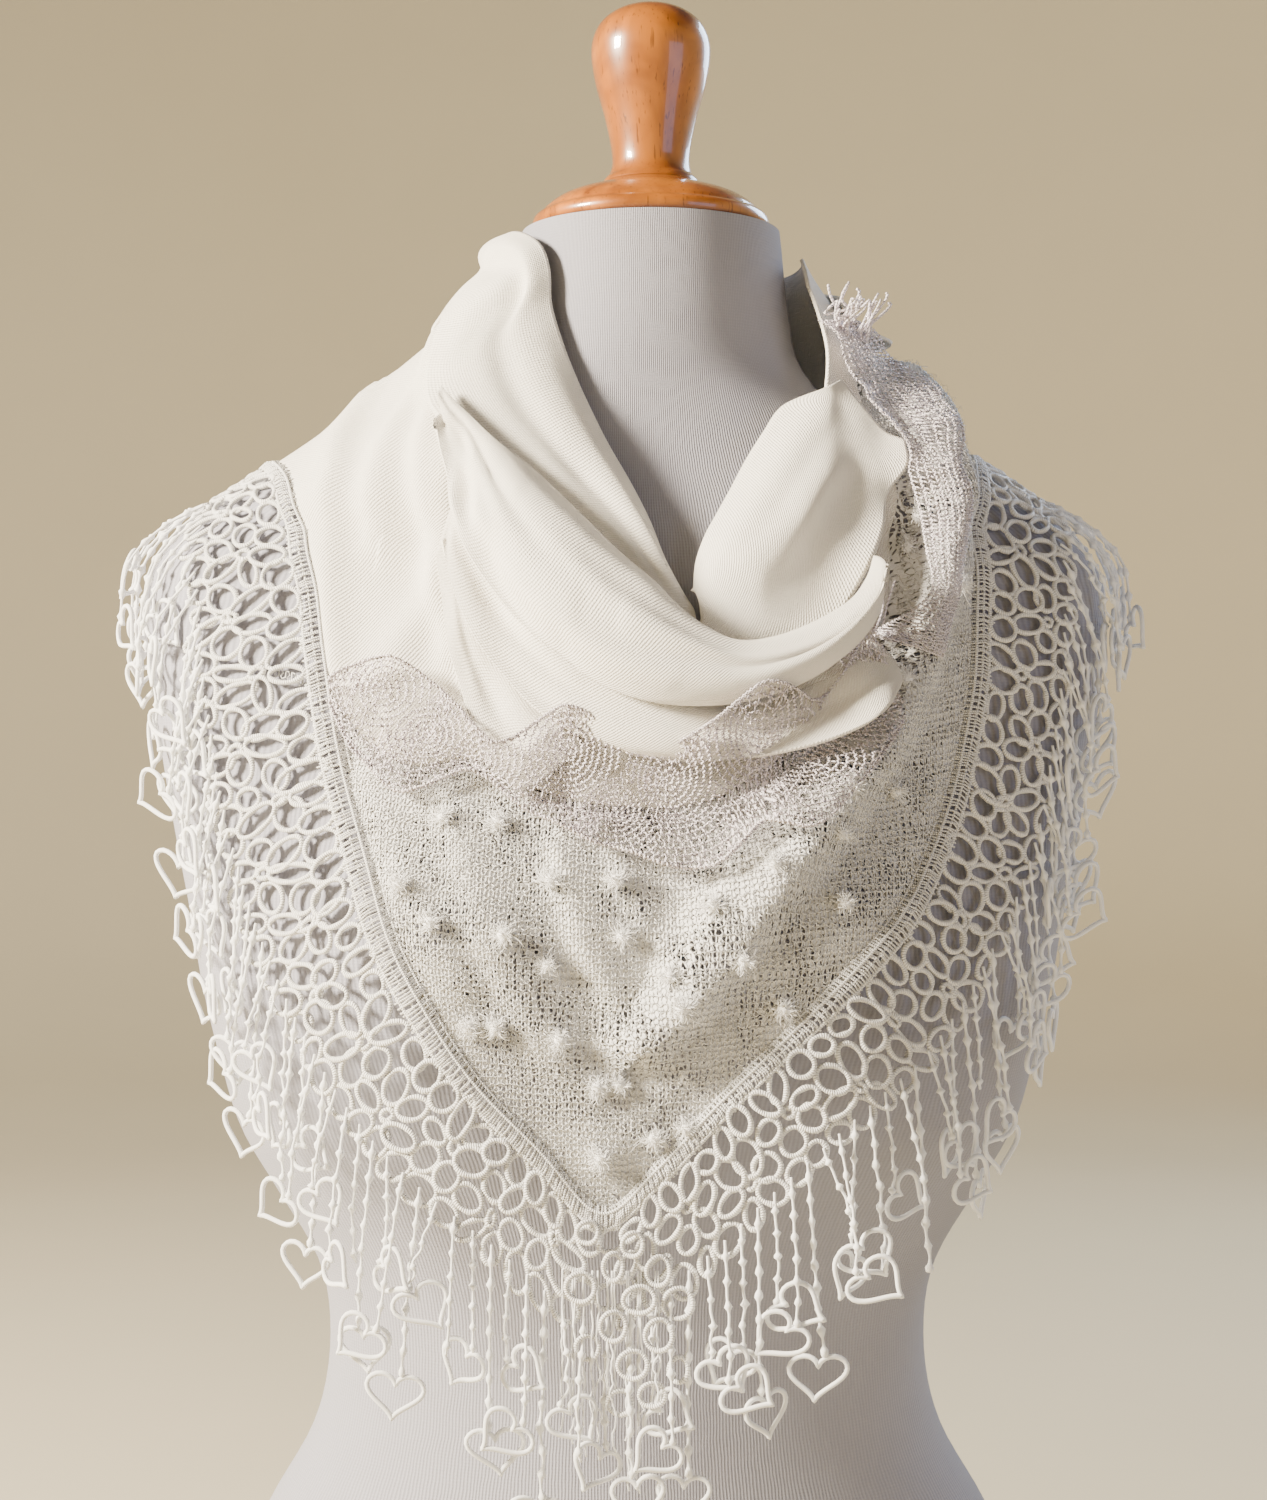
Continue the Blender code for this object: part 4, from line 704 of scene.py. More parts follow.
# Shader node trees, written in reading order.
class Net:
    """A node tree that nodes are added to one after the other."""

    def __init__(self, tree):
        self.tree = tree
        self.count = 0

    def add(self, kind, inputs=None, **settings):
        """A node with its settings, and its inputs set or linked."""
        node = self.tree.nodes.new(kind)
        node.location = (self.count % 8 * 190, -(self.count // 8) * 320)
        self.count += 1
        for key, value in settings.items():
            setattr(node, key, value)
        self.feed(node, inputs or {})
        return node

    def feed(self, node, inputs):
        """Set or link a node's inputs."""
        for key, value in inputs.items():
            if isinstance(value, bpy.types.NodeSocket):
                self.tree.links.new(value, node.inputs[key])
            else:
                node.inputs[key].default_value = value

    def math(self, operation, one, two=0.0):
        """The result of a sum on one or two values."""
        return self.add("ShaderNodeMath", {0: one, 1: two}, operation=operation).outputs[0]

    def noise(self, vector, scale, detail=3.0, roughness=0.5, distortion=0.0):
        """Soft random values of 0 to 1."""
        inputs = {"Vector": vector, "Scale": scale, "Detail": detail, "Roughness": roughness}
        inputs["Distortion"] = distortion
        return self.add("ShaderNodeTexNoise", inputs).outputs["Fac"]

    def spread(self, value, low, high, to_low=0.0, to_high=1.0):
        """A value's range, moved to another range and kept within it."""
        inputs = {"Value": value, "From Min": low, "From Max": high, "To Min": to_low, "To Max": to_high}
        return self.add("ShaderNodeMapRange", inputs, clamp=True).outputs[0]

    def blend(self, share, one, two):
        """A mix of two colours."""
        inputs = {0: share, 6: one, 7: two}
        return self.add("ShaderNodeMix", inputs, data_type="RGBA").outputs[2]

    def stretch(self, vector, scale):
        """A vector with another scale along each of its axes."""
        return self.add("ShaderNodeMapping", {"Vector": vector, "Scale": scale}).outputs[0]

    def group(self, shared, inputs):
        """A shared effect, placed with its own values."""
        node = self.add("ShaderNodeGroup", node_tree=shared)
        self.feed(node, inputs)
        return node.outputs


def shared_effect(name, inputs, outputs, build):
    """A node group with named sockets, made once: build returns what it puts out."""
    found = bpy.data.node_groups.get(name)
    if found:
        return found
    tree = bpy.data.node_groups.new(name, "ShaderNodeTree")
    for label, kind, value in inputs:
        socket = tree.interface.new_socket(label, in_out="INPUT", socket_type=kind)
        if value is not None:
            socket.default_value = value
    for label in outputs:
        tree.interface.new_socket(label, in_out="OUTPUT", socket_type="NodeSocketFloat")
    net = Net(tree)
    made = build(net, net.add("NodeGroupInput").outputs)
    leave = net.add("NodeGroupOutput")
    for label, value in zip(outputs, made):
        tree.links.new(value, leave.inputs[label])
    return tree


VECTOR = ("Vector", "NodeSocketVector", None)


def fuzz_effect():
    """Short loose fibres: a soft cloudiness and a fine nap."""
    def build(net, given):
        cloud = net.noise(given["Vector"], 45.0, 3.0)
        scale = given["Scale"]
        nap = net.noise(given["Vector"], scale, 6.0, 0.7, 0.6)
        lines = net.noise(net.stretch(given["Vector"], (1.0, 0.25, 1.0)), scale, 3.0, 0.6, 1.5)
        height = net.math("ADD", net.math("MULTIPLY", nap, 0.6), net.math("MULTIPLY", lines, 0.4))
        shade = net.math("ADD", net.math("MULTIPLY", cloud, 0.5), net.math("MULTIPLY", height, 0.5))
        return shade, height
    inputs = [VECTOR, ("Scale", "NodeSocketFloat", 900.0)]
    return shared_effect("Spun fibre", inputs, ["Shade", "Height"], build)


def twist_effect():
    """The turns of a twisted or wrapped thread along a cord's UV map, as a height and as painted shade."""
    def build(net, given):
        parts = net.add("ShaderNodeSeparateXYZ", {0: given["Vector"]}).outputs
        turns = net.math("DIVIDE", parts[0], given["Pitch"])
        jitter = net.noise(net.stretch(given["Vector"], (900.0, 2.0, 1.0)), 1.0, 2.0)
        lead = net.math("ADD", net.math("ADD", turns, parts[1]), net.math("MULTIPLY", jitter, 0.35))
        wave = net.math("ABSOLUTE", net.math("SINE", net.math("MULTIPLY", lead, math.pi)))
        height = net.math("POWER", wave, 0.6)
        # Shade is the height again: painted highlight on each turn and painted shade in each groove.
        return net.spread(height, 0.1, 0.9), height
    inputs = [VECTOR, ("Pitch", "NodeSocketFloat", 0.0011)]
    return shared_effect("Thread twist", inputs, ["Shade", "Height"], build)


def twill_effect():
    """The slanted lines of a fine twill on a cloth's UV map, as a height and as painted shade."""
    def build(net, given):
        parts = net.add("ShaderNodeSeparateXYZ", {0: given["Vector"]}).outputs
        slant = net.math("ADD", parts[0], net.math("MULTIPLY", parts[1], 0.8))
        waver = net.math("MULTIPLY", net.noise(given["Vector"], 300.0, 2.0), 0.0006)
        turns = net.math("DIVIDE", net.math("ADD", slant, waver), given["Pitch"])
        line = net.math("SINE", net.math("MULTIPLY", turns, 2 * math.pi))
        pick = net.math("SINE", net.math("MULTIPLY", net.math("DIVIDE", parts[1], given["Pitch"]), 9.0))
        height = net.math("ADD", net.math("MULTIPLY", line, 0.35), net.math("MULTIPLY", pick, 0.15))
        # Shade is the height again: painted highlight on each raised line and painted shade between them.
        return net.spread(height, -0.5, 0.5), net.spread(height, -0.5, 0.5)
    inputs = [VECTOR, ("Pitch", "NodeSocketFloat", 0.0013)]
    return shared_effect("Twill", inputs, ["Shade", "Height"], build)


def rib_effect():
    """The upright ribs of a stretched jersey, counted round the form's axis, as a height and as painted
    shade.
    """
    def build(net, given):
        parts = net.add("ShaderNodeSeparateXYZ", {0: given["Vector"]}).outputs
        angle = net.math("ARCTAN2", parts[0], parts[1])
        waver = net.math("MULTIPLY", net.noise(given["Vector"], 60.0, 2.0), 0.02)
        ribs = net.math("SINE", net.math("MULTIPLY", net.math("ADD", angle, waver), given["Ribs"]))
        rows = net.math("SINE", net.math("MULTIPLY", parts[2], 5200.0))
        height = net.math("ADD", net.math("MULTIPLY", ribs, 0.4), net.math("MULTIPLY", rows, 0.1))
        # Shade is the height again: painted highlight on each rib and painted shade in each groove.
        return net.spread(height, -0.5, 0.5), net.spread(height, -0.5, 0.5)
    inputs = [VECTOR, ("Ribs", "NodeSocketFloat", 600.0)]
    return shared_effect("Jersey ribs", inputs, ["Shade", "Height"], build)


def grain_effect():
    """Wood grain that runs up a turned piece, with small dark pores."""
    def build(net, given):
        long = net.stretch(given["Vector"], (1.0, 1.0, 0.16))
        drift = net.noise(long, 26.0, 4.0, 0.55, 1.2)
        parts = net.add("ShaderNodeSeparateXYZ", {0: long}).outputs
        rings = net.math("ADD", net.math("MULTIPLY", parts[0], 95.0), net.math("MULTIPLY", drift, 9.0))
        band = net.spread(net.math("SINE", rings), -1.0, 1.0)
        pores = net.noise(net.stretch(given["Vector"], (1.0, 1.0, 0.05)), 900.0, 2.0)
        dark = net.spread(pores, 0.62, 0.7)
        stain = net.noise(given["Vector"], 30.0, 3.0, 0.6, 0.8)
        return band, dark, stain
    return shared_effect("Wood grain", [VECTOR], ["Band", "Pores", "Stain"], build)


def eyelet_effect():
    """The eyes of an open knit: 1 where there is yarn and 0 in an eye."""
    def build(net, given):
        parts = net.add("ShaderNodeSeparateXYZ", {0: given["Vector"]}).outputs
        drift = net.math("SUBTRACT", net.noise(given["Vector"], 120.0, 2.0), 0.5)
        sway = net.math("SUBTRACT", net.noise(given["Vector"], 90.0, 1.0), 0.5)
        u = net.math("ADD", net.math("DIVIDE", parts[0], given["Stitch"]), net.math("MULTIPLY", drift, 4.0))
        v = net.math("ADD", net.math("DIVIDE", parts[1], given["Course"]), net.math("MULTIPLY", sway, 3.0))
        side = net.math("SUBTRACT", net.math("FRACT", net.math("ADD", u, 0.5)), 0.5)
        rise = net.math("SUBTRACT", net.math("FRACT", v), 0.5)
        wide = net.math("MULTIPLY", side, 1.5)
        off = net.math("SQRT", net.math("ADD", net.math("MULTIPLY", wide, wide),
                                        net.math("MULTIPLY", rise, rise)))
        cloud = net.noise(given["Vector"], 38.0, 2.0, 0.5)
        fine = net.noise(given["Vector"], 420.0, 3.0, 0.7)
        size = net.spread(cloud, 0.4, 0.58, given["Least"], net.math("ADD", given["Least"], 0.44))
        ragged = net.math("ADD", off, net.math("MULTIPLY", net.math("SUBTRACT", fine, 0.5), 0.55))
        solid = net.spread(net.math("SUBTRACT", ragged, size), -0.05, 0.09)
        return solid, fine
    inputs = [VECTOR, ("Stitch", "NodeSocketFloat", 0.0034), ("Course", "NodeSocketFloat", 0.003)]
    inputs.append(("Least", "NodeSocketFloat", 0.02))
    return shared_effect("Knit eyes", inputs, ["Solid", "Fibre"], build)


def finish(name, roughness, **plain):
    """A new material: its net and its Principled shader with plain settings."""
    made = bpy.data.materials.new(name)
    made.use_nodes = True
    net = Net(made.node_tree)
    shader = made.node_tree.nodes["Principled BSDF"]
    shader.inputs["Roughness"].default_value = roughness
    for key, value in plain.items():
        shader.inputs[key.replace("_", " ")].default_value = value
    return made, net, shader


def join(net, shader, colour, height, strength, distance, roughness=None):
    """Link a colour and a bump, and a roughness that changes, to a shader."""
    net.tree.links.new(colour, shader.inputs["Base Color"])
    bump = net.add("ShaderNodeBump", {"Height": height, "Strength": strength, "Distance": distance})
    net.tree.links.new(bump.outputs[0], shader.inputs["Normal"])
    if roughness is not None:
        net.tree.links.new(roughness, shader.inputs["Roughness"])


def rgba(colour, scale=1.0):
    """A colour with its alpha, lighter or darker."""
    return (*(min(1.0, part * scale) for part in colour[:3]), 1.0)


def tint(name):
    """One of the colours that a user can set."""
    return getattr(bpy.context.scene.shawl_colours, name)


def once(build):
    """Keep what a function makes, by its name, so that it is made once."""
    def wrapped():
        return bpy.data.materials.get(build.__name__) or build()
    return wrapped


@once
def brushed_wool():
    """Cream wool: a soft nap over a fine twill."""
    colour = tint("wool")
    made, net, shader = finish("brushed_wool", 0.85, Sheen_Weight=0.35, Sheen_Roughness=0.4)
    shader.inputs["Sheen Tint"].default_value = (1.0, 0.96, 0.9, 1.0)
    uv = net.add("ShaderNodeTexCoord").outputs["UV"]
    fuzz = net.group(fuzz_effect(), {"Vector": uv, "Scale": 1500.0})
    twill = net.group(twill_effect(), {"Vector": uv, "Pitch": 0.0013})
    # The fibres' random tone, with the twill's lines painted over it as highlight and shade.
    shade = net.spread(net.math("ADD", fuzz["Shade"], net.math("MULTIPLY", twill["Shade"], 0.35)), 0.3, 1.0)
    tone = net.blend(shade, rgba(colour, 0.87), rgba(colour, 1.04))
    height = net.math("ADD", fuzz["Height"], net.math("MULTIPLY", twill["Height"], 0.7))
    join(net, shader, tone, height, 0.75, 0.0007)
    return made


def thread_finish(name, colour, pitch, glint=0.0, depth=0.0004):
    """A twisted thread of one colour, with painted highlights on its turns and painted shade in the grooves
    between them.
    """
    made, net, shader = finish(name, 0.5, Sheen_Weight=0.2)
    uv = net.add("ShaderNodeTexCoord").outputs
    twist = net.group(twist_effect(), {"Vector": uv["UV"], "Pitch": pitch})
    fuzz = net.group(fuzz_effect(), {"Vector": uv["Object"], "Scale": 1300.0})
    # Painted highlight and shade of the twist: turns lighter, grooves darker, mixed with the fibres' random
    # tone.
    turns = net.math("MULTIPLY", twist["Shade"], 0.55)
    shade = net.math("ADD", turns, net.math("MULTIPLY", fuzz["Shade"], 0.45))
    tone = net.blend(shade, rgba(colour, 0.62), rgba(colour, 1.08))
    height = net.math("ADD", twist["Height"], net.math("MULTIPLY", fuzz["Height"], 0.3))
    rough = net.spread(fuzz["Shade"], 0.3, 0.7, 0.38, 0.65)
    join(net, shader, tone, height, 1.0, depth, rough)
    if glint:
        spots = net.noise(uv["Object"], 700.0, 1.0)
        shine = net.spread(spots, 0.56, 0.62, 0.0, glint)
        net.tree.links.new(shine, shader.inputs["Metallic"])
    return made


@once
def guipure_thread():
    """The lace edging's wrapped cord."""
    return thread_finish("guipure_thread", tint("lace"), 0.0009, 0.12)


@once
def fringe_thread():
    """The fringe's silky thread."""
    return thread_finish("fringe_thread", tint("fringe"), 0.0012, 0.15, 0.0003)


@once
def crochet_yarn():
    """The ruffle's lilac-grey yarn with a metallic glint."""
    return thread_finish("crochet_yarn", tint("ruffle"), 0.0018, 0.5)


@once
def knit_yarn():
    """The fine fuzzy yarn of the openwork."""
    return thread_finish("knit_yarn", tint("knit"), 0.002, 0.0, 0.0003)


@once
def bobble_fluff():
    """The bobbles' soft combed fibre."""
    colour = tint("knit")
    made, net, shader = finish("bobble_fluff", 0.95, Sheen_Weight=0.8, Subsurface_Weight=0.6)
    shader.inputs["Subsurface Radius"].default_value = (0.003, 0.003, 0.003)
    place_of = net.add("ShaderNodeTexCoord").outputs["Object"]
    fuzz = net.group(fuzz_effect(), {"Vector": place_of, "Scale": 1600.0})
    tone = net.blend(fuzz["Shade"], rgba(colour, 0.96), rgba(colour, 1.07))
    join(net, shader, tone, fuzz["Height"], 0.5, 0.0004)
    return made


def haze_finish(name, colour, stitch, course, tone_low, least_eye=0.02):
    """The fine fibres between the stitches, with an eye in each stitch."""
    made, net, shader = finish(name, 0.9, Sheen_Weight=0.4)
    uv = net.add("ShaderNodeTexCoord").outputs["UV"]
    settings = {"Vector": uv, "Stitch": stitch, "Course": course, "Least": least_eye}
    eyes = net.group(eyelet_effect(), settings)
    fuzz = net.group(fuzz_effect(), {"Vector": uv, "Scale": 1100.0})
    tone = net.blend(fuzz["Shade"], rgba(colour, tone_low), rgba(colour, 1.0))
    join(net, shader, tone, net.math("ADD", fuzz["Height"], eyes["Solid"]), 0.7, 0.0006)
    net.tree.links.new(eyes["Solid"], shader.inputs["Alpha"])
    return made


@once
def knit_haze():
    """The openwork's ground between its stitches."""
    colour = tint("knit")
    sizes = bpy.context.scene.shawl_sizes
    return haze_finish("knit_haze", colour, sizes.stitch_width, sizes.course_height, 0.74)


@once
def ruffle_ground():
    """The fine fibres behind the ruffle's chains."""
    colour = tint("ruffle")
    return haze_finish("ruffle_ground", colour, 0.0026, 0.002, 0.85, 0.55)


@once
def ribbed_jersey():
    """The form's off-white stretch cover with its upright ribs painted as shade, in a blue-grey that stands
    in for the shade on it.
    """
    colour = tint("jersey")
    made, net, shader = finish("ribbed_jersey", 0.88, Sheen_Weight=0.1)
    place_of = net.add("ShaderNodeTexCoord").outputs["Object"]
    ribs = net.group(rib_effect(), {"Vector": place_of, "Ribs": 470.0})
    fuzz = net.group(fuzz_effect(), {"Vector": place_of, "Scale": 800.0})
    # The ribs painted as shade, darker in their grooves, over the cover's random tone.
    lines = net.math("MULTIPLY", ribs["Shade"], 0.6)
    shade = net.math("ADD", lines, net.math("MULTIPLY", fuzz["Shade"], 0.4))
    tone = net.blend(shade, rgba(colour, 0.76), rgba(colour, 1.08))
    join(net, shader, tone, net.math("ADD", ribs["Height"], fuzz["Height"]), 0.5, 0.0005)
    return made


@once
def honey_wood():
    """Honey-coloured wood under glossy varnish, with painted shade along the foot of the cap where it sits
    on the neck.
    """
    colours = bpy.context.scene.shawl_colours
    made, net, shader = finish("honey_wood", 0.3, Coat_Weight=1.0, Coat_Roughness=0.05)
    place_of = net.add("ShaderNodeTexCoord").outputs["Object"]
    grain = net.group(grain_effect(), {"Vector": place_of})
    tone = net.blend(grain["Band"], rgba(colours.wood, 0.8), rgba(colours.wood, 1.35))
    deep = net.spread(grain["Stain"], 0.4, 0.68)
    tone = net.blend(net.math("MULTIPLY", deep, 0.7), tone, rgba(colours.wood_stain))
    tone = net.blend(net.math("MULTIPLY", grain["Pores"], 0.6), tone, rgba(colours.wood_stain, 0.4))
    # Painted shade: the cap's lowest few millimetres, under its bead where it sits on the neck, turn near
    # black along a wavy line.
    rise = net.add("ShaderNodeSeparateXYZ", {0: place_of}).outputs[2]
    edge = net.math("ADD", rise, net.math("MULTIPLY", grain["Stain"], 0.0018))
    rim = net.spread(edge, (NECK_TOP + 1.6) * MM, (NECK_TOP + 3.4) * MM, 0.92, 0.0)
    tone = net.blend(rim, tone, (0.035, 0.012, 0.008, 1.0))
    join(net, shader, tone, net.math("ADD", grain["Band"], grain["Pores"]), 0.08, 0.0003)
    return made


@once
def pale_floor():
    """The plain pale floor."""
    made, net, shader = finish("pale_floor", 0.9)
    place_of = net.add("ShaderNodeTexCoord").outputs["Object"]
    colour = tint("floor")
    speck = net.noise(place_of, 6.0, 4.0)
    tone = net.blend(speck, rgba(colour, 0.97), rgba(colour, 1.03))
    join(net, shader, tone, speck, 0.02, 0.001)
    return made


# The dress form and its turned wood.
def clear_selection():
    """Let go of every object, so that an operator acts on its own piece alone."""
    if bpy.context.mode != "OBJECT":
        bpy.ops.object.mode_set(mode="OBJECT")
    bpy.ops.object.select_all(action="DESELECT")


def turn_wood(name, rings):
    """A piece turned on the neck's axis, drawn up ring by ring from a disc."""
    clear_selection()
    foot = rings[0]
    middle = (NECK_LEAN * MM, 0, foot.height * MM)
    bpy.ops.mesh.primitive_circle_add(
        vertices=TURN_SIDES, radius=foot.radius * MM, fill_type="NGON", location=middle
    )
    piece = bpy.context.object
    piece.name = name
    bpy.ops.object.mode_set(mode="EDIT")
    bpy.ops.mesh.select_all(action="SELECT")
    for below, ring in zip(rings, rings[1:]):
        lift = (0, 0, (ring.height - below.height) * MM)
        bpy.ops.mesh.extrude_region_move(TRANSFORM_OT_translate={"value": lift})
        grow = ring.radius / below.radius
        bpy.ops.transform.resize(value=(grow, grow, 1))
    bpy.ops.mesh.select_all(action="SELECT")
    bpy.ops.mesh.normals_make_consistent(inside=False)
    bpy.ops.object.mode_set(mode="OBJECT")
    bpy.ops.object.transform_apply(location=True, rotation=True, scale=True)
    bpy.ops.object.shade_smooth_by_angle(angle=math.radians(60))
    piece.data.materials.clear()
    piece.data.materials.append(honey_wood())
    return piece


def turned_profile(rings, count):
    """A turned outline with more rings, on a smooth curve through the given ones."""
    rows = hermite(np.array([(ring.height, ring.radius) for ring in rings], float), count)
    return [Ring(height, max(radius, 0.5)) for height, radius in rows]


def make_form():
    """The padded form: a tall tube, subdivided and drawn out to the form's sections."""
    clear_selection()
    height = NECK_TOP * MM
    bpy.ops.mesh.primitive_cylinder_add(
        vertices=FORM_SIDES, radius=0.1, depth=height, end_fill_type="NGON", location=(0, 0, height / 2)
    )
    piece = bpy.context.object
    piece.name = "dress_form"
    bpy.ops.object.transform_apply(location=True, rotation=True, scale=True)
    mesh = piece.data
    bpy.ops.object.mode_set(mode="EDIT")
    bpy.ops.mesh.select_all(action="DESELECT")
    bpy.ops.mesh.select_mode(type="EDGE")
    bpy.ops.object.mode_set(mode="OBJECT")
    for edge in mesh.edges:
        low, high = (mesh.vertices[v].co.z for v in edge.vertices)
        edge.select = abs(high - low) > height / 2
    bpy.ops.object.mode_set(mode="EDIT")
    bpy.ops.mesh.subdivide(number_cuts=FORM_RINGS)
    bpy.ops.object.mode_set(mode="OBJECT")
    for vertex in mesh.vertices:
        x, y, z = vertex.co / MM
        angle = math.degrees(math.atan2(x, -y))
        vertex.co = place(angle, form_radius(angle, z), z)
    bpy.ops.object.shade_smooth_by_angle(angle=math.radians(50))
    mesh.materials.clear()
    mesh.materials.append(ribbed_jersey())
    return piece


# The wool.
def wool_boundary(station):
    """Angle and reach of the wool's lower edge: the hem, and the seam where the knit begins."""
    angle, reach = hem_place(station, 0)
    seam = curve(SEAM, "hem_station", station)
    share = np.clip((station - KNIT_FROM) / KNIT_RUN_IN, 0, 1)
    share = share * np.clip((KNIT_TO - station) / KNIT_RUN_IN, 0, 1)
    return angle + (seam["angle"] - angle) * share, reach + (seam["reach"] - reach) * share


def wool_relief(angle, reach):
    """How far the folds lift the wool, also where they run on across the middle of the back."""
    lifts = []
    for turn in (-360, 0, 360):
        folds, ripples = (fold_relief(f, angle + turn, reach) for f in (WOOL_FOLDS, WOOL_RIPPLES))
        lifts.append(folds + ripples)
    return np.max(lifts, axis=0)


def wool_ground():
    """The wool that lies straight on the form, all the way round."""
    stations = np.linspace(HEM[0].station, HEM[-1].station, WOOL_COLUMNS)
    angle, bottom = wool_boundary(stations)
    top = np.interp(angle, [w.angle for w in WOOL_TOP], [w.reach for w in WOOL_TOP])
    share = np.linspace(0, 1, WOOL_ROWS)[None, :]
    reach = top[:, None] * (1 - share) + bottom[:, None] * share
    spread = np.broadcast_to(angle[:, None], reach.shape)
    lift = WOOL_THICK + wool_relief(spread, reach) * np.sin(np.pi * share) ** 0.5
    outer = drape_point(spread, reach, lift)
    return cloth_wall("wool_cloth", outer, cloth_place(spread, reach), WOOL_THICK, brushed_wool())


def crease(grid, uv, creases):
    """Push a grid of cloth in or out along soft lines. Their ends are shares of its sides."""
    size = uv[-1, -1]
    depth = np.zeros(grid.shape[:2])
    for line in creases:
        start = np.array([line.from_along, line.from_across]) * size
        run = np.array([line.to_along, line.to_across]) * size - start
        share = ((uv - start) @ run) / (run @ run)
        near = uv - start - np.clip(share, 0, 1)[..., None] * run
        away = np.linalg.norm(near, axis=2) / (line.width * MM)
        fade = np.clip(1.3 - np.abs(2 * share - 1), 0, 1)
        depth += line.depth * np.exp(-(away**2)) * fade
    return grid + grid_normals(grid) * depth[..., None] * MM


def clear_of(points, nodes, room):
    """Move points away from the form's axis until they clear the given nodes by `room`."""
    moved = points.copy()
    tree = layers_tree(nodes)
    for index in np.ndindex(points.shape[:-1]):
        x, y, z = points[index] / MM
        x -= lean(z)
        angle, radius = math.degrees(math.atan2(x, -y)), math.hypot(x, y)
        under = form_radius(angle, z)
        for turn, rise in LOOK_ROUND:
            start = Vector(place(angle + turn, LOOK_FROM, z + rise))
            end = Vector(place(angle + turn, 0, z + rise))
            hit = tree.ray_cast(start, (end - start).normalized())[3]
            if hit is not None:
                under = max(under, LOOK_FROM - hit / MM)
        moved[index] = place(angle, max(radius, under + room), z)
    return moved


def layers_tree(nodes):
    """The given nodes' solids, to look up how high they stand."""
    points, faces = [], []
    for name in nodes:
        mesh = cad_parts[name].data
        start = len(points)
        points += [v.co.copy() for v in mesh.vertices]
        faces += [tuple(start + v for v in face.vertices) for face in mesh.polygons]
    return BVHTree.FromPolygons(points, faces)


def wool_loop(loop):
    """A band of wool round the neck, over the layers that lie beneath it."""
    rows = LOOPS[loop.node]
    row = curve(rows, None, np.linspace(0, len(rows) - 1, loop.steps))
    share = np.linspace(0, 2, loop.across)
    over, under = np.minimum(share, 1) * math.pi / 2, np.maximum(share - 1, 0) * math.pi / 2

    def through(kind, first, second):
        top, belly, foot = (row[f"{part}_{kind}"][:, None] for part in ("top", "belly", "foot"))
        return top + (belly - top) * first(over) + (foot - belly) * second(under)

    angle = through("angle", lambda t: t * 2 / math.pi, lambda t: t * 2 / math.pi)
    height = through("height", lambda t: 1 - np.cos(t), np.sin)
    radius = through("radius", np.sin, lambda t: 1 - np.cos(t))
    outer = clear_of(place(angle, radius, height), LAYERS[: loop.layer], WOOL_THICK + LAYER_GAP)
    outer = refine(outer, loop.steps * 7, 33)
    uv = lay_out(outer)
    outer = crease(outer, uv, CREASES.get(loop.node, []))
    return cloth_wall(loop.piece, outer, uv, WOOL_THICK, brushed_wool())


# The openwork knit.
KNIT_HEM = hem_place(np.linspace(HEM[0].station, HEM[-1].station, HEM_SAMPLES), 0)


def knit_share(angle, reach):
    """How far down the knit a place is: 0 at the seam and 1 at the hem."""
    top = smooth(SEAM, "angle", "reach", angle)
    bottom = np.interp(angle, KNIT_HEM[0], KNIT_HEM[1])
    return (reach - top) / np.maximum(bottom - top, 1.0)


def knit_out(angle, reach):
    """How far the knit's ground stands off the drape."""
    share = np.clip(knit_share(angle, reach), 0, 1)
    fade = np.clip(np.minimum(share, 1 - share) / RELIEF_FADE, 0, 1)
    lift = fold_relief(KNIT_FOLDS, angle, reach) + fold_relief(KNIT_RIPPLES, angle, reach)
    return 0.5 + lift * fade


def knit_ground():
    """The haze of fine fibres that the stitches lie on."""
    stations = np.linspace(KNIT_FROM, KNIT_TO, KNIT_COLUMNS)
    angle, top = wool_boundary(stations)
    hem_angle, hem_reach = hem_place(stations, 0)
    share = np.linspace(0, 1, KNIT_ROWS)[None, :]
    spread = angle[:, None] * (1 - share) + hem_angle[:, None] * share
    reach = top[:, None] * (1 - share) + (hem_reach[:, None] + 1.5) * share
    outer = drape_point(spread, reach, knit_out(spread, reach))
    return cloth_wall("knit_cloth", outer, cloth_place(spread, reach), 0.4, knit_haze())


def runs_of(mine):
    """The stretches of a row where something holds, as pairs of places."""
    edges = np.flatnonzero(np.diff(np.concatenate([[0], mine.astype(int), [0]])))
    return list(zip(edges[::2], edges[1::2]))


def knit_stitches(name, first, last):
    """Courses of looped yarn over the ground, from one angle to another."""
    rng = np.random.default_rng(41)
    cords = Cords()
    fine = np.arange(first - 2, last + 2, 0.4)
    turns_of = np.arange(STITCH_POINTS) / STITCH_POINTS
    width = size("stitch_width")
    for reach in np.arange(46, 404, size("course_height")):
        share = knit_share(fine, reach)
        inside = (share > 0.0) & (share < 1.0)
        round_it = read_profile(ROUND, fine, reach)
        for a, b in runs_of(inside):
            bounds = np.ceil(np.interp([first, last], fine, round_it) / width)
            low = int(max(math.ceil(round_it[a] / width), bounds[0]))
            high = int(min(math.floor(round_it[b - 1] / width), bounds[1]))
            if high - low < 2:
                continue
            u = (np.arange(low, high)[:, None] + turns_of[None, :]).ravel()
            turn = 2 * np.pi * u
            tall = LOOP_HEIGHT * (1 + 0.12 * np.repeat(rng.normal(size=high - low), STITCH_POINTS))
            x = u * width + LOOP_WAIST * np.sin(2 * turn)
            x += np.repeat(rng.normal(size=high - low) * 0.18, STITCH_POINTS)
            angle = np.interp(x, round_it, fine)
            waver = np.interp(x, round_it, 1.3 * bumps(len(fine), 300 + int(reach)))
            down = reach + waver + tall * np.cos(turn)
            out = knit_out(angle, down) + 0.35 + 0.3 * np.cos(2 * turn)
            path, up = on_drape(angle, down, out)
            cords.add(path, up, size("knit_yarn"), 3)
    return cords.make(name, knit_yarn())


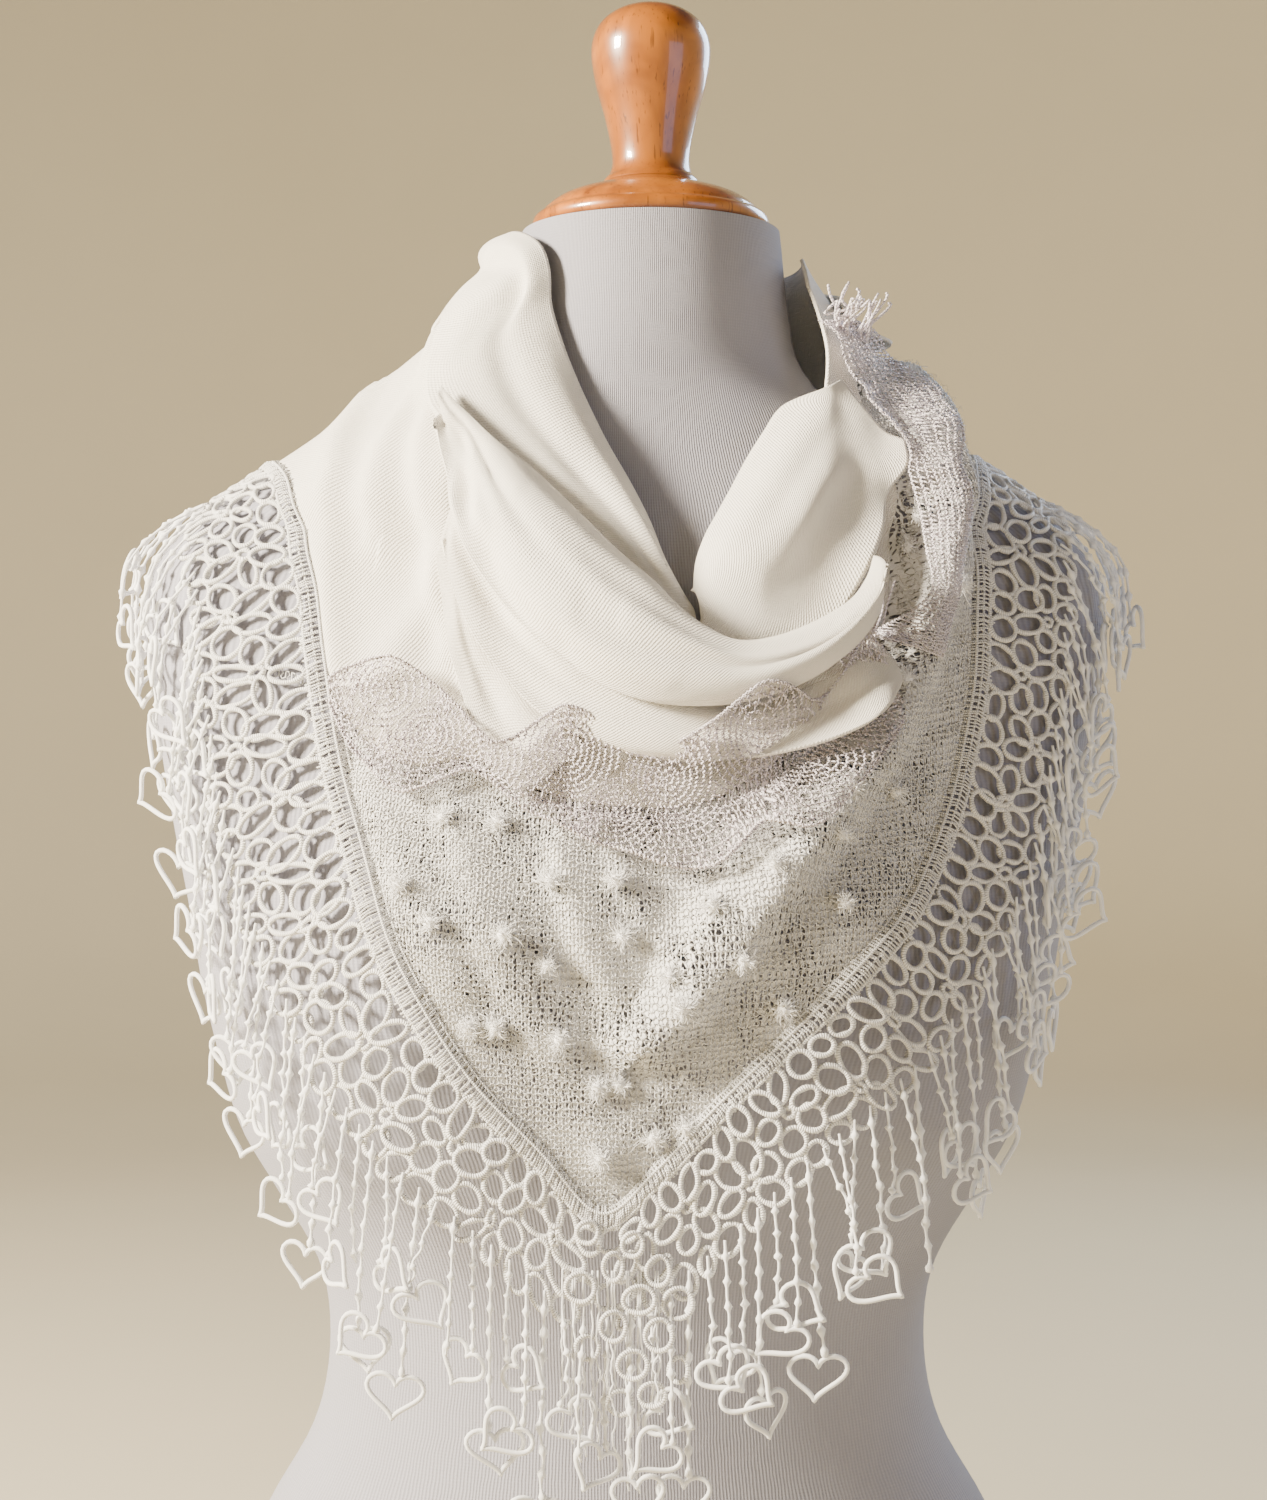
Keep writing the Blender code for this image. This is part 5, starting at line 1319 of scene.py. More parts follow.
def bobble_mesh(cords, middle, away, radius, rng):
    """A fuzzy bobble: short loops of yarn that stand out all round from its middle."""
    hairs = BOBBLE_HAIRS
    turn = rng.random(hairs) * 2 * np.pi
    rise = rng.uniform(-0.15, 1, hairs)
    side = np.cross(away, [0.0, 0.0, 1.0])
    side = side / np.linalg.norm(side)
    over = np.cross(side, away)
    flat = np.sqrt(1 - rise**2)
    out = away * rise[:, None] + side * (flat * np.cos(turn))[:, None]
    out = out + over * (flat * np.sin(turn))[:, None]
    swirl = np.cross(out, away) * rng.normal(size=(hairs, 1)) * 0.6
    for k in range(hairs):
        reach = radius * rng.uniform(0.7, 1.3)
        steps = np.array([0.15, 0.6, 0.9, 1.0])[:, None]
        bend = np.array([0.0, 0.25, 0.6, 0.95])[:, None]
        path = middle + (out[k] * steps + swirl[k] * bend) * reach * MM
        cords.add(path, np.tile(np.cross(out[k], [0.3, 0.2, 0.9]), (4, 1)), BOBBLE_YARN, 3)


def make_bobbles():
    """The bobbles, each a ball of yarn ends round a soft core."""
    rng = np.random.default_rng(5)
    cords = Cords()
    for spot in BOBBLES:
        base = knit_out(np.array(spot.angle), np.array(spot.reach)) + BOBBLE_RISE
        middle, away = on_drape(spot.angle, spot.reach, base)
        radius = size("bobble") * spot.size
        turn = np.linspace(0, np.pi, 7)
        core = middle + away * (-np.cos(turn) * radius * BOBBLE_CORE * MM)[:, None]
        cords.add(core, np.tile([0.2, 0.1, 1.0], (7, 1)), np.sin(turn) * radius * BOBBLE_CORE + 0.05, 10)
        bobble_mesh(cords, middle, away, radius, rng)
    return cords.make("bobbles", bobble_fluff())


def make_hairs():
    """Loose fibres that stand off the knit."""
    rng = np.random.default_rng(11)
    cords = Cords()
    made = 0
    while made < bpy.context.scene.shawl_sizes.loose_fibres:
        angle = rng.uniform(-50, 120)
        reach = rng.uniform(60, 400)
        share = float(knit_share(np.array(angle), np.array(reach)))
        if not 0.03 < share < 0.97:
            continue
        heading = rng.uniform(0, 2 * np.pi)
        long = rng.uniform(2.5, 7)
        steps = np.array([0, 0.5, 1.0])
        round_it = float(read_profile(ROUND, angle, reach)) + np.cos(heading) * long * steps
        bend = rng.normal() * 1.5 * steps * (1 - steps) * 4
        per_degree = float(read_profile(ROUND, angle + 1, reach) - read_profile(ROUND, angle, reach))
        angles = angle + (round_it - round_it[0]) / per_degree
        reaches = reach + np.sin(heading) * long * steps + bend
        lift = knit_out(angles, reaches) + 0.7 + np.array([0, rng.uniform(0.4, 2.2), rng.uniform(0, 2.6)])
        path, up = on_drape(angles, reaches, lift)
        cords.add(path, up, HAIR_RADIUS, 3)
        made += 1
    return cords.make("knit_fibres", knit_yarn())


# The crochet ruffle.
def ruffle_front_grid():
    """The ruffle's outer points along the seam, in domes above it and in fans below."""
    row = curve(RUFFLE, None, np.linspace(0, len(RUFFLE) - 1, 2 * len(RUFFLE) - 1))
    wave = {key: value[:, None] for key, value in row.items()}
    angle = row["angle"]
    share = np.array([[-1, 0, 0.35, 0.7, 1]])
    up, down = np.maximum(-share, 0), np.maximum(share, 0)
    seam = smooth(SEAM, "angle", "reach", angle)[:, None]
    reach = seam - wave["above"] * up + wave["below"] * down
    out = RUFFLE_SEAM + (wave["top_out"] - RUFFLE_SEAM) * up + (wave["low_out"] - RUFFLE_SEAM) * down
    outer = drape_point(angle[:, None], reach, out)
    return clear_of(outer, LAYERS[:6], RUFFLE_THICK + LAYER_GAP)


def ruffle_shoulder_grid():
    """The points of the narrow stretch, from the right shoulder down to the front one."""
    row = curve(SHOULDER_FRILL, None, np.linspace(0, len(SHOULDER_FRILL) - 1, 21))
    row = {key: value[:, None] for key, value in row.items()}
    share = np.array([[0, 1 / 3, 2 / 3, 1]])
    angle = row["inner_angle"] * (1 - share) + row["outer_angle"] * share
    reach = row["inner_reach"] * (1 - share) + row["outer_reach"] * share
    out = RUFFLE_SEAM + (row["out"] - RUFFLE_SEAM) * np.abs(2 * share - 1)
    return clear_of(drape_point(angle, reach, out), LAYERS[:10], RUFFLE_THICK + FRILL_GAP)


def chain(cords, path, lift, rng):
    """A crochet chain along a path: a yarn that winds from side to side."""
    run = way_along(path) / MM
    at = np.arange(0, run[-1], CHAIN_STITCH / 4)
    if len(at) < 4:
        return
    path = np.stack([np.interp(at, run, path[:, c]) for c in range(3)], axis=1)
    lift = np.stack([np.interp(at, run, lift[:, c]) for c in range(3)], axis=1)
    side = np.cross(np.gradient(path, axis=0), lift)
    side /= np.linalg.norm(side, axis=1, keepdims=True)
    phase = np.arange(len(at)) * np.pi / 2 + rng.random() * 2
    sway = CHAIN_SWAY * np.sin(phase) * (1 + 0.3 * rng.normal(size=len(at)))
    rise = 0.3 * np.cos(phase) + 0.15 * rng.normal(size=len(at))
    path = path + side * (sway * MM)[:, None] + lift * (rise * MM)[:, None]
    cords.add(path, lift, size("chain_yarn"), 3, start=rng.random())


class RuffleCloth:
    """The front ruffle's surface, looked up by angle and reach."""

    def __init__(self, grid):
        self.points = refine(grid, 400, 61)
        self.normals = grid_normals(self.points)
        row = curve(RUFFLE, None, np.linspace(0, len(RUFFLE) - 1, 400))
        self.angle, self.above, self.below = row["angle"], row["above"], row["below"]

    def share(self, angle, reach):
        """How far a place lies from the seam: -1 at the upper edge and 1 at the lower one."""
        off = reach - smooth(SEAM, "angle", "reach", angle)
        above = np.interp(angle, self.angle, self.above)
        below = np.interp(angle, self.angle, self.below)
        return np.where(off < 0, off / above, off / below)

    def at(self, angle, reach):
        """The points and the directions away from the cloth at a place."""
        row = np.interp(angle, self.angle, np.arange(400))
        column = np.interp(self.share(angle, reach), [-1, 0, 0.35, 0.7, 1], [0, 15, 30, 45, 60])
        i, j = np.minimum(row.astype(int), 398), np.minimum(column.astype(int), 59)
        u, v = (row - i)[..., None], (column - j)[..., None]
        found = []
        for table in (self.points, self.normals):
            near = table[i, j] * (1 - v) + table[i, j + 1] * v
            far = table[i + 1, j] * (1 - v) + table[i + 1, j + 1] * v
            found.append(near * (1 - u) + far * u)
        return found


# The radii of the ruffle's rounds: they open up away from their eye.
ROUNDS = 1.3 + ROUND_STEP * (np.arange(17) + 0.022 * np.arange(17) ** 2)


def crochet_rounds(name, cloth, seed):
    """Rounds of chain about each eye of the ruffle, and the posts between the rounds."""
    rng = np.random.default_rng(seed)
    cords = Cords()
    eye_angle = np.array([eye.angle for eye in RUFFLE_EYES], float)
    eye_reach = smooth(SEAM, "angle", "reach", eye_angle) + [eye.below for eye in RUFFLE_EYES]
    per_mm = math.degrees(1 / MEAN_RADIUS)

    def owned(k, angle, reach):
        """Where a place is on the ruffle and nearest to this eye."""
        away = np.hypot((angle[:, None] - eye_angle) / per_mm, reach[:, None] - eye_reach)
        away = away * [eye.pull for eye in RUFFLE_EYES]
        on_it = (np.abs(cloth.share(angle, reach)) < 1) & (angle > cloth.angle[0])
        return (np.argmin(away, axis=1) == k) & on_it & (angle < cloth.angle[-1])

    for k in range(len(RUFFLE_EYES)):
        for radius in ROUNDS:
            turn = np.linspace(0, 2 * np.pi, max(10, int(radius * 14))) + np.pi / 2
            wave = radius + 0.25 * bumps(len(turn), seed + k)
            angle = eye_angle[k] + wave * np.cos(turn) * per_mm
            reach = eye_reach[k] + wave * np.sin(turn)
            mine = owned(k, angle, reach)
            for first, last in runs_of(mine):
                if last - first > 8:
                    path, lift = cloth.at(angle[first:last], reach[first:last])
                    chain(cords, path + lift * 0.3 * MM, lift, rng)
            posts = max(6, int(radius * 2 * np.pi / POST_STEP))
            turn = (np.arange(posts) + rng.random()) * 2 * np.pi / posts
            for bearing in turn:
                steps = radius + np.array([0.0, 0.5, 1.0]) * ROUND_STEP * 1.2
                angle = eye_angle[k] + steps * np.cos(bearing) * per_mm
                reach = eye_reach[k] + steps * np.sin(bearing)
                if owned(k, angle, reach).all():
                    path, lift = cloth.at(angle, reach)
                    rise = np.array([[0.0], [0.35], [0.1]]) * MM
                    cords.add(path + lift * rise, lift, 0.8 * size("chain_yarn"), 3)
    for edge in (-0.985, 0.985):
        angle = np.linspace(cloth.angle[2], cloth.angle[-3], 900)
        reach = smooth(SEAM, "angle", "reach", angle)
        width = np.interp(angle, cloth.angle, cloth.above if edge < 0 else cloth.below)
        path, lift = cloth.at(angle, reach + edge * width)
        for rise in (0.2, 0.9):
            chain(cords, path + lift * rise * MM, lift, rng)
    return cords.make(name, crochet_yarn())


def crochet_rows(name, grid, rows, seed):
    """Rows of chain along a narrow stretch of the ruffle, with posts across them."""
    rng = np.random.default_rng(seed)
    cords = Cords()
    fine = refine(grid, 420, rows)
    normal = grid_normals(fine)
    posts = np.arange(2, 418, 5)
    for k in range(rows):
        chain(cords, fine[:, k] + normal[:, k] * 0.3 * MM, normal[:, k], rng)
    for k in range(rows - 1):
        for i in posts + rng.integers(0, 3, len(posts)):
            ends = [fine[i, k], fine[min(i + 2, 419), k + 1]]
            path = np.linspace(ends[0], ends[1], 3) + normal[i, k] * 0.4 * MM
            cords.add(path, np.tile(normal[i, k], (3, 1)), 0.8 * size("chain_yarn"), 3)
    return cords.make(name, crochet_yarn())


def thread_ends(name):
    """The ruffle's loose ends: bunches of short threads."""
    rng = np.random.default_rng(77)
    cords = Cords()
    share = np.linspace(0, 1, 12)
    for bunch in THREAD_BUNCHES:
        for _ in range(bunch.count):
            start = np.array([bunch.angle, bunch.reach, bunch.out]) + rng.normal(size=3) * [1.2, 2.0, 0.8]
            end = np.array([bunch.to_angle, bunch.to_reach, bunch.to_out])
            end = end + rng.normal(size=3) * [bunch.spread / 2, bunch.spread, bunch.spread / 2]
            way = start + (end - start) * share[:, None]
            curl = np.sin(share * np.pi * rng.uniform(0.8, 2.2)) * rng.normal() * 2
            out = np.maximum(way[:, 2] + curl, 1.5)
            path, up = on_drape(way[:, 0] + curl * 0.4, way[:, 1], out)
            cords.add(path, up, 0.55, 4)
    return cords.make(name, crochet_yarn())


def ruffle_cloth(name, grid, rows, across):
    """The ruffle's ground of fine fibre, just under its chains."""
    fine = refine(grid, rows, across)
    fine = fine - grid_normals(fine) * 0.3 * MM
    return cloth_wall(name, fine, lay_out(fine), 0.3, ruffle_ground())


# The lace edging.
def edging_run(first, last):
    """Stations along a stretch of the edging and how far along its middle each lies."""
    fine = np.linspace(first, last, HEM_SAMPLES)
    points = drape_point(*hem_place(fine, EDGING_WIDTH / 2), LACE_LIFT) / MM
    return fine, way_along(points)


def ring_cord(cords, middle, radii, tilt, warp, run, out):
    """One ring of the lace: an oval cord in the plane of the edging."""
    turn = np.arange(RING_POINTS) * 2 * np.pi / RING_POINTS
    x = radii[0] * np.cos(turn) * (1 + warp[0] * np.cos(2 * turn + warp[1]))
    y = radii[1] * np.sin(turn) * (1 + warp[0] * np.cos(2 * turn + warp[1]))
    along = middle[0] + x * math.cos(tilt) - y * math.sin(tilt)
    across = middle[1] + x * math.sin(tilt) + y * math.cos(tilt)
    station = np.interp(along, run[1], run[0])
    angle, reach = hem_place(station, across)
    path, up = on_drape(angle, reach, out + 0.35 * np.sin(turn + tilt))
    thick = 1 + 0.15 * np.sin(4 * turn + warp[1])
    cords.add(path, up, size("ring_cord") * thick, 5, closed=True)


def ring_rows(first, last, rows, seed):
    """The rings' middles, sizes and slants, some gathered into flowers."""
    rng = np.random.default_rng(seed)
    run = edging_run(first, last)
    pitch = run[1][-1] / max(1, round(run[1][-1] / RING_STEP))
    count = round(run[1][-1] / pitch)
    rings = []
    for row in range(rows):
        across = TAPE_WIDTH + RING_ROW_STEP * (row + 0.5)
        for column in range(count - row % 2):
            along = pitch * (column + 0.5 + 0.5 * (row % 2))
            centre = row in (1, 2) and (column + 2 * row) % FLOWER_EVERY == 0
            rings.append((np.array([along, across]), centre))
    hearts_of = np.array([place_of for place_of, centre in rings if centre])
    made = []
    for middle, centre in rings:
        radii = size("ring_size") * (1 + 0.13 * rng.normal(size=2))
        tilt = rng.uniform(-0.4, 0.4)
        toward = hearts_of - middle
        near = np.linalg.norm(toward, axis=1)
        if centre:
            radii = radii * 0.42
        elif near.min() < RING_STEP * 1.25:
            lead = toward[np.argmin(near)]
            tilt = math.atan2(lead[1], lead[0])
            radii = radii * np.array([1.26, 0.86])
            middle = middle + lead * 0.12
        made.append((middle + rng.normal(size=2) * 0.6, radii, tilt, rng.uniform(0, 0.2), rng.random() * 6))
    return made, run


def lace_rings(name, first, last, rows, seed):
    """A stretch of the edging: rows of rings that touch."""
    rng = np.random.default_rng(seed + 100)
    cords = Cords()
    made, run = ring_rows(first, last, rows, seed)
    for middle, radii, tilt, warp, phase in made:
        out = LACE_LIFT + rng.uniform(-0.3, 1.1)
        ring_cord(cords, middle, radii, tilt, (warp, phase), run, out)
    return cords.make(name, guipure_thread())


def tape_cords(name, first, last):
    """The dense tape along the hem: two wrapped cords and the slanted stitches between them."""
    fine, run = edging_run(first, last)
    cords = Cords()
    rng = np.random.default_rng(3)
    at = np.linspace(0, run[-1], int(run[-1] / 2.2))
    station = np.interp(at, run, fine)
    for across, radius in ((-2.4, 0.45), (-0.6, 0.6), (1.9, 0.5), (4.6, 0.75)):
        sway = 0.25 * bumps(len(at), int(across * 10) + 50)
        angle, reach = hem_place(station, across + sway)
        rise = 0.5 + 0.2 * bumps(len(at), int(across * 7) + 90) - 1.3 * (across < -1)
        path, up = on_drape(angle, reach, LACE_LIFT + rise)
        cords.add(path, up, radius, 6)
    stitches = np.arange(1.0, run[-1] - 1.5, 1.3)
    for along in stitches:
        lead = along + np.array([0, 0.8, 0.4]) + rng.uniform(-0.7, 0.7, 3)
        across = np.array([-2.8, 1.6, 5.4]) + rng.uniform(-0.8, 0.8, 3)
        angle, reach = hem_place(np.interp(lead, run, fine), across)
        path, up = on_drape(angle, reach, LACE_LIFT + np.array([-1.1, 1.1, 0.5]) + rng.uniform(0, 0.5))
        cords.add(path, up, 0.42, 4)
    return cords.make(name, guipure_thread())


# The fringe.
def knotted(path, rng, thin, thick, knots):
    """A thread's radius along its path, with a knot at each of the given shares."""
    share = np.linspace(0, 1, len(path))
    radius = np.full(len(path), thin)
    for knot in knots:
        radius = radius + thick * rng.uniform(0.75, 1.15) * np.exp(-(((share - knot) / 0.02) ** 2))
    return radius


def heart_path():
    """A smooth heart and the point on its right lobe that its thread holds it by."""
    turn = np.radians(np.arange(0, 360, 360 / HEART_POINTS))
    across = HEART_ACROSS * np.sin(turn) ** 3
    up = sum(size * np.cos(wave * turn) for wave, size in enumerate(HEART_UP, 1))
    outline = np.stack([across, up], axis=1) * HEART_WIDTH / (2 * HEART_ACROSS)
    return outline, round(HEART_POINTS * HEART_HOLD_TURN / 360)


def hang_heart(cords, angle, reach, out, tilt, mirrored, swing):
    """A heart that hangs from a point, turned in its own plane and swung out of it."""
    outline, hold = heart_path()
    if mirrored:
        outline = outline * [-1, 1]
    along = np.roll(outline, -1, axis=0) - np.roll(outline, 1, axis=0)
    turn = math.radians(tilt) - math.atan2(along[hold][1], along[hold][0])
    if mirrored:
        turn += math.pi
    spin = np.array([[math.cos(turn), math.sin(turn)], [-math.sin(turn), math.cos(turn)]])
    outline = (outline - outline[hold]) @ spin
    per_mm = math.degrees(1 / read_profile(DRAPE_RADIUS, angle, reach))
    x = outline[:, 0] * math.cos(swing)
    lift = np.maximum(out + outline[:, 0] * math.sin(swing), 1.2)
    path, up = on_drape(angle + x * per_mm, reach - outline[:, 1], lift)
    cords.add(path, up, size("heart_cord"), 6, closed=True)


def fringe_roots(first, last, step):
    """Stations along the edging's outer edge where strands hang."""
    fine, run = edging_run(first, last)
    count = max(1, round(run[-1] / step))
    return np.interp((np.arange(count) + 0.5) * run[-1] / count, run, fine)


def hang_strand(cords, station, strand, rng):
    """A knotted strand from the edging's outer edge, with its heart."""
    angle, reach = hem_place(station, EDGING_WIDTH - ROOT_OVERLAP)
    away = np.sign(angle) * strand.spread if abs(angle) > SPREAD_FROM else 0
    long = strand.length * rng.uniform(0.9, 1.12) + 6 + ROOT_OVERLAP
    share = np.linspace(0, 1, STRAND_POINTS)
    per_mm = math.degrees(1 / read_profile(DRAPE_RADIUS, angle, reach))
    sway = rng.normal() * 1.6 * np.sin(share * np.pi) + rng.normal() * 0.5 * np.sin(share * 7 * np.pi)
    low = LACE_LIFT + 1.4
    out = low + (max(strand.out, low) - low) * np.minimum(1, 1.6 * share)
    path, up = on_drape(angle + away * share + sway * per_mm * share, reach + long * share, out)
    knots = (np.arange(strand.knots) + rng.uniform(0.55, 0.85)) / strand.knots
    cords.add(path, up, knotted(path, rng, size("strand"), KNOT_THICK, knots), 6)
    if rng.random() < 0.93:
        swing = rng.uniform(-0.5, 0.5)
        hang_heart(cords, angle + away, reach + long, strand.out, strand.tilt, strand.mirrored, swing)


def make_fringe(name, first, last, step, seed):
    """A stretch of the fringe, with strands that take turns in length and depth."""
    rng = np.random.default_rng(seed)
    cords = Cords()
    for k, station in enumerate(fringe_roots(first, last, step)):
        hang_strand(cords, station, STRANDS[k % len(STRANDS)], rng)
    return cords.make(name, fringe_thread())


def make_tip():
    """The gathered corner: a few more rings, and loose thread ends that hang from them."""
    rng = np.random.default_rng(8)
    rings = Cords()
    for spot in TIP_RINGS:
        turn = np.arange(RING_POINTS) * 2 * np.pi / RING_POINTS
        per_mm = math.degrees(1 / read_profile(DRAPE_RADIUS, spot.angle, spot.reach))
        wide, tall = spot.size * (1 + 0.15 * rng.normal(size=2))
        angle = spot.angle + wide * np.cos(turn) * per_mm
        path, up = on_drape(angle, spot.reach + tall * np.sin(turn), spot.out + 0.8 * np.sin(turn * 2))
        rings.add(path, up, size("ring_cord") * 0.92, 5, closed=True)
    ends = Cords()
    for k in range(TIP_THREADS):
        share = np.linspace(0, 1, 30)
        start = TIP_FROM + (TIP_TO - TIP_FROM) * rng.random()
        long = rng.uniform(45, 82)
        wave = bumps(30, 200 + k) * 0.9 * share
        path, up = on_drape(start + wave, 418 + long * share, 4 + 3.5 * rng.random() * share)
        knots = rng.random(2) * 0.6 + 0.2 if k % 3 == 0 else []
        ends.add(path, up, knotted(path, rng, 0.38, 0.8, knots), 5)
    return rings.make("tip_rings", guipure_thread()), ends.make("tip_threads", fringe_thread())


# The stage.
def make_backdrop():
    """A round floor that curves up into a plain wall far behind, the same on every side."""
    clear_selection()
    rim = BACKDROP[0]
    bpy.ops.mesh.primitive_circle_add(vertices=96, radius=rim.radius, location=(0, 0, rim.height))
    floor = bpy.context.object
    floor.name = "floor"
    bpy.ops.object.mode_set(mode="EDIT")
    bpy.ops.mesh.select_all(action="SELECT")
    for above, ring in zip(BACKDROP, BACKDROP[1:]):
        drop = (0, 0, ring.height - above.height)
        bpy.ops.mesh.extrude_edges_move(TRANSFORM_OT_translate={"value": drop})
        shrink = ring.radius / above.radius
        bpy.ops.transform.resize(value=(shrink, shrink, 1))
    bpy.ops.mesh.edge_face_add()
    bpy.ops.mesh.select_all(action="SELECT")
    bpy.ops.mesh.normals_make_consistent(inside=True)
    bpy.ops.object.mode_set(mode="OBJECT")
    bpy.ops.object.transform_apply(location=True, rotation=True, scale=True)
    bpy.ops.object.shade_smooth_by_angle(angle=math.radians(60))
    floor.data.materials.append(pale_floor())


def add_light(name, place_at, aim, size, power, colour):
    """A soft square light that faces a point."""
    bpy.ops.object.light_add(type="AREA", location=place_at)
    lamp = bpy.context.object
    lamp.name = name
    lamp.data.size = size
    lamp.data.energy = power
    lamp.data.color = colour
    toward = Vector(aim) - Vector(place_at)
    lamp.rotation_euler = toward.to_track_quat("-Z", "Y").to_euler()


# What a user would change.
def length_setting(name, description, default):
    """A length that a user can set."""
    return FloatProperty(name=name, description=description, default=default, unit="LENGTH")


class ShawlSizes(bpy.types.PropertyGroup):
    """Sizes of the yarns and threads."""

    stitch_width: length_setting("Stitch width", "Width of one knitted stitch", 0.0028)
    course_height: length_setting("Course height", "Height of one knitted row", 0.0025)
    knit_yarn: length_setting("Knit yarn", "Radius of the openwork's yarn", 0.00033)
    chain_yarn: length_setting("Ruffle yarn", "Radius of the ruffle's yarn", 0.00042)
    ring_size: length_setting("Lace ring", "Radius of a ring of the edging", 0.0047)
    ring_cord: length_setting("Lace cord", "Radius of the edging's cord", 0.0011)
    strand: length_setting("Fringe thread", "Radius of a fringe strand", 0.00055)
    heart_cord: length_setting("Heart cord", "Radius of a heart's cord", 0.00098)
    bobble: length_setting("Bobble", "Radius of a bobble", 0.0043)
    loose_fibres: IntProperty(
        name="Loose fibres", description="How many fibres stand off the knit", default=2000
    )


def size(name):
    """One of the sizes that a user can set, in millimetres."""
    return getattr(bpy.context.scene.shawl_sizes, name) / MM


def colour_setting(name, description, default):
    """A colour that a user can set."""
    return FloatVectorProperty(
        name=name, description=description, default=default, subtype="COLOR", min=0, max=1
    )


class ShawlColours(bpy.types.PropertyGroup):
    """Base colours of the finishes."""

    wool: colour_setting("Wool", "Brushed wool", (0.93, 0.9, 0.84))
    knit: colour_setting("Knit", "Openwork yarn", (0.93, 0.93, 0.93))
    ruffle: colour_setting("Ruffle", "Crochet yarn", (0.93, 0.86, 0.93))
    lace: colour_setting("Lace", "Edging cord", (0.95, 0.95, 0.96))
    fringe: colour_setting("Fringe", "Fringe thread", (0.93, 0.94, 0.97))
    # Painted shade: the cover is off-white, and this dark blue-grey stands in for the shade that lies on
    # it.
    jersey: colour_setting("Jersey", "The form's cover", (0.34, 0.34, 0.4))
    wood: colour_setting("Wood", "Honey-coloured wood", (0.38, 0.12, 0.011))
    wood_stain: colour_setting("Wood stain", "The wood's darker streaks", (0.11, 0.026, 0.005))
    floor: colour_setting("Floor", "The plain floor", (0.5, 0.45, 0.33))


class SHAWL_OT_form(bpy.types.Operator):
    """Model the padded form under its jersey"""

    bl_idname = "shawl.form"
    bl_label = "Dress form"

    def execute(self, context):
        settle(make_form(), "jersey", "form_torso")
        return {"FINISHED"}


class SHAWL_OT_wood(bpy.types.Operator):
    """Turn the neck cap and the handle"""

    bl_idname = "shawl.wood"
    bl_label = "Turned wood"

    def execute(self, context):
        settle(turn_wood("turned_cap", CAP), "varnished_wood", "neck_cap")
        settle(turn_wood("turned_handle", turned_profile(HANDLE, 44)), "varnished_wood", "handle")
        return {"FINISHED"}


class SHAWL_OT_wool(bpy.types.Operator):
    """Lay the brushed wool on the form and wind its bands round the neck"""

    bl_idname = "shawl.wool"
    bl_label = "Wool"

    def execute(self, context):
        cloth = settle(wool_ground(), "wool", "wool_left", "wool_front", "wool_back")
        for band in BANDS:
            piece = settle(wool_loop(band), "wool", band.node)
        return {"FINISHED"}


class SHAWL_OT_knit(bpy.types.Operator):
    """Knit the openwork corner: its fibre ground, its stitches and its loose fibres"""

    bl_idname = "shawl.knit"
    bl_label = "Openwork knit"

    def execute(self, context):
        ground = settle(knit_ground(), "knit", "knit_front", "knit_shoulder")
        trim = [settle(knit_stitches("stitches_left", -60, 6), "knit")]
        trim.append(settle(knit_stitches("stitches_right", 6, 152), "knit"))
        trim.append(settle(make_hairs(), "knit"))
        return {"FINISHED"}


class SHAWL_OT_bobbles(bpy.types.Operator):
    """Add the fuzzy bobbles to the openwork"""

    bl_idname = "shawl.bobbles"
    bl_label = "Bobbles"

    def execute(self, context):
        settle(make_bobbles(), "knit")
        return {"FINISHED"}


class SHAWL_OT_ruffle(bpy.types.Operator):
    """Crochet the ruffle along the seam and up the shoulder"""

    bl_idname = "shawl.ruffle"
    bl_label = "Crochet ruffle"

    def execute(self, context):
        front, shoulder = ruffle_front_grid(), ruffle_shoulder_grid()
        ground = settle(ruffle_cloth("ruffle_front_ground", front, 170, 36), "ruffle_yarn", "ruffle_front")
        chains = settle(crochet_rounds("ruffle_front_rounds", RuffleCloth(front), 21), "ruffle_yarn")
        ground = ruffle_cloth("ruffle_shoulder_ground", shoulder, 160, 20)
        ground = settle(ground, "ruffle_yarn", "ruffle_shoulder")
        chains = settle(crochet_rows("ruffle_shoulder_rows", shoulder, 10, 22), "ruffle_yarn")
        settle(thread_ends("ruffle_threads"), "ruffle_yarn")
        return {"FINISHED"}


class SHAWL_OT_edging(bpy.types.Operator):
    """Work the ring lace along the hem, with the tape that joins it to the cloth"""

    bl_idname = "shawl.edging"
    bl_label = "Lace edging"

    def execute(self, context):
        settle(lace_rings("lace_left", LEFT_SHOULDER, TIP, 4, 31), "lace", "edging_left")
        settle(lace_rings("lace_right", TIP, RIGHT_SHOULDER, 4, 32), "lace", "edging_right")
        back = lace_rings("lace_back", RIGHT_SHOULDER, LEFT_SHOULDER + WHOLE_TURN, 4, 33)
        settle(back, "lace", "edging_back")
        settle(tape_cords("hem_tape", HEM[0].station, BACK_MIDDLE), "lace")
        return {"FINISHED"}


class SHAWL_OT_fringe(bpy.types.Operator):
    """Hang the knotted strands and their hearts, and the loose threads at the corner"""

    bl_idname = "shawl.fringe"
    bl_label = "Heart fringe"

    def execute(self, context):
        left = make_fringe("hearts_left", LEFT_SHOULDER, TIP, STRAND_STEP, 61)
        settle(left, "fringe_thread", "fringe_left")
        right = make_fringe("hearts_right", TIP, RIGHT_SHOULDER, STRAND_STEP, 62)
        settle(right, "fringe_thread", "fringe_right")
        end = LEFT_SHOULDER + WHOLE_TURN
        back = make_fringe("hearts_back", RIGHT_SHOULDER, end, BACK_STRAND_STEP, 63)
        settle(back, "fringe_thread", "fringe_back")
        rings, threads = make_tip()
        settle(rings, "lace")
        settle(threads, "fringe_thread")
        return {"FINISHED"}


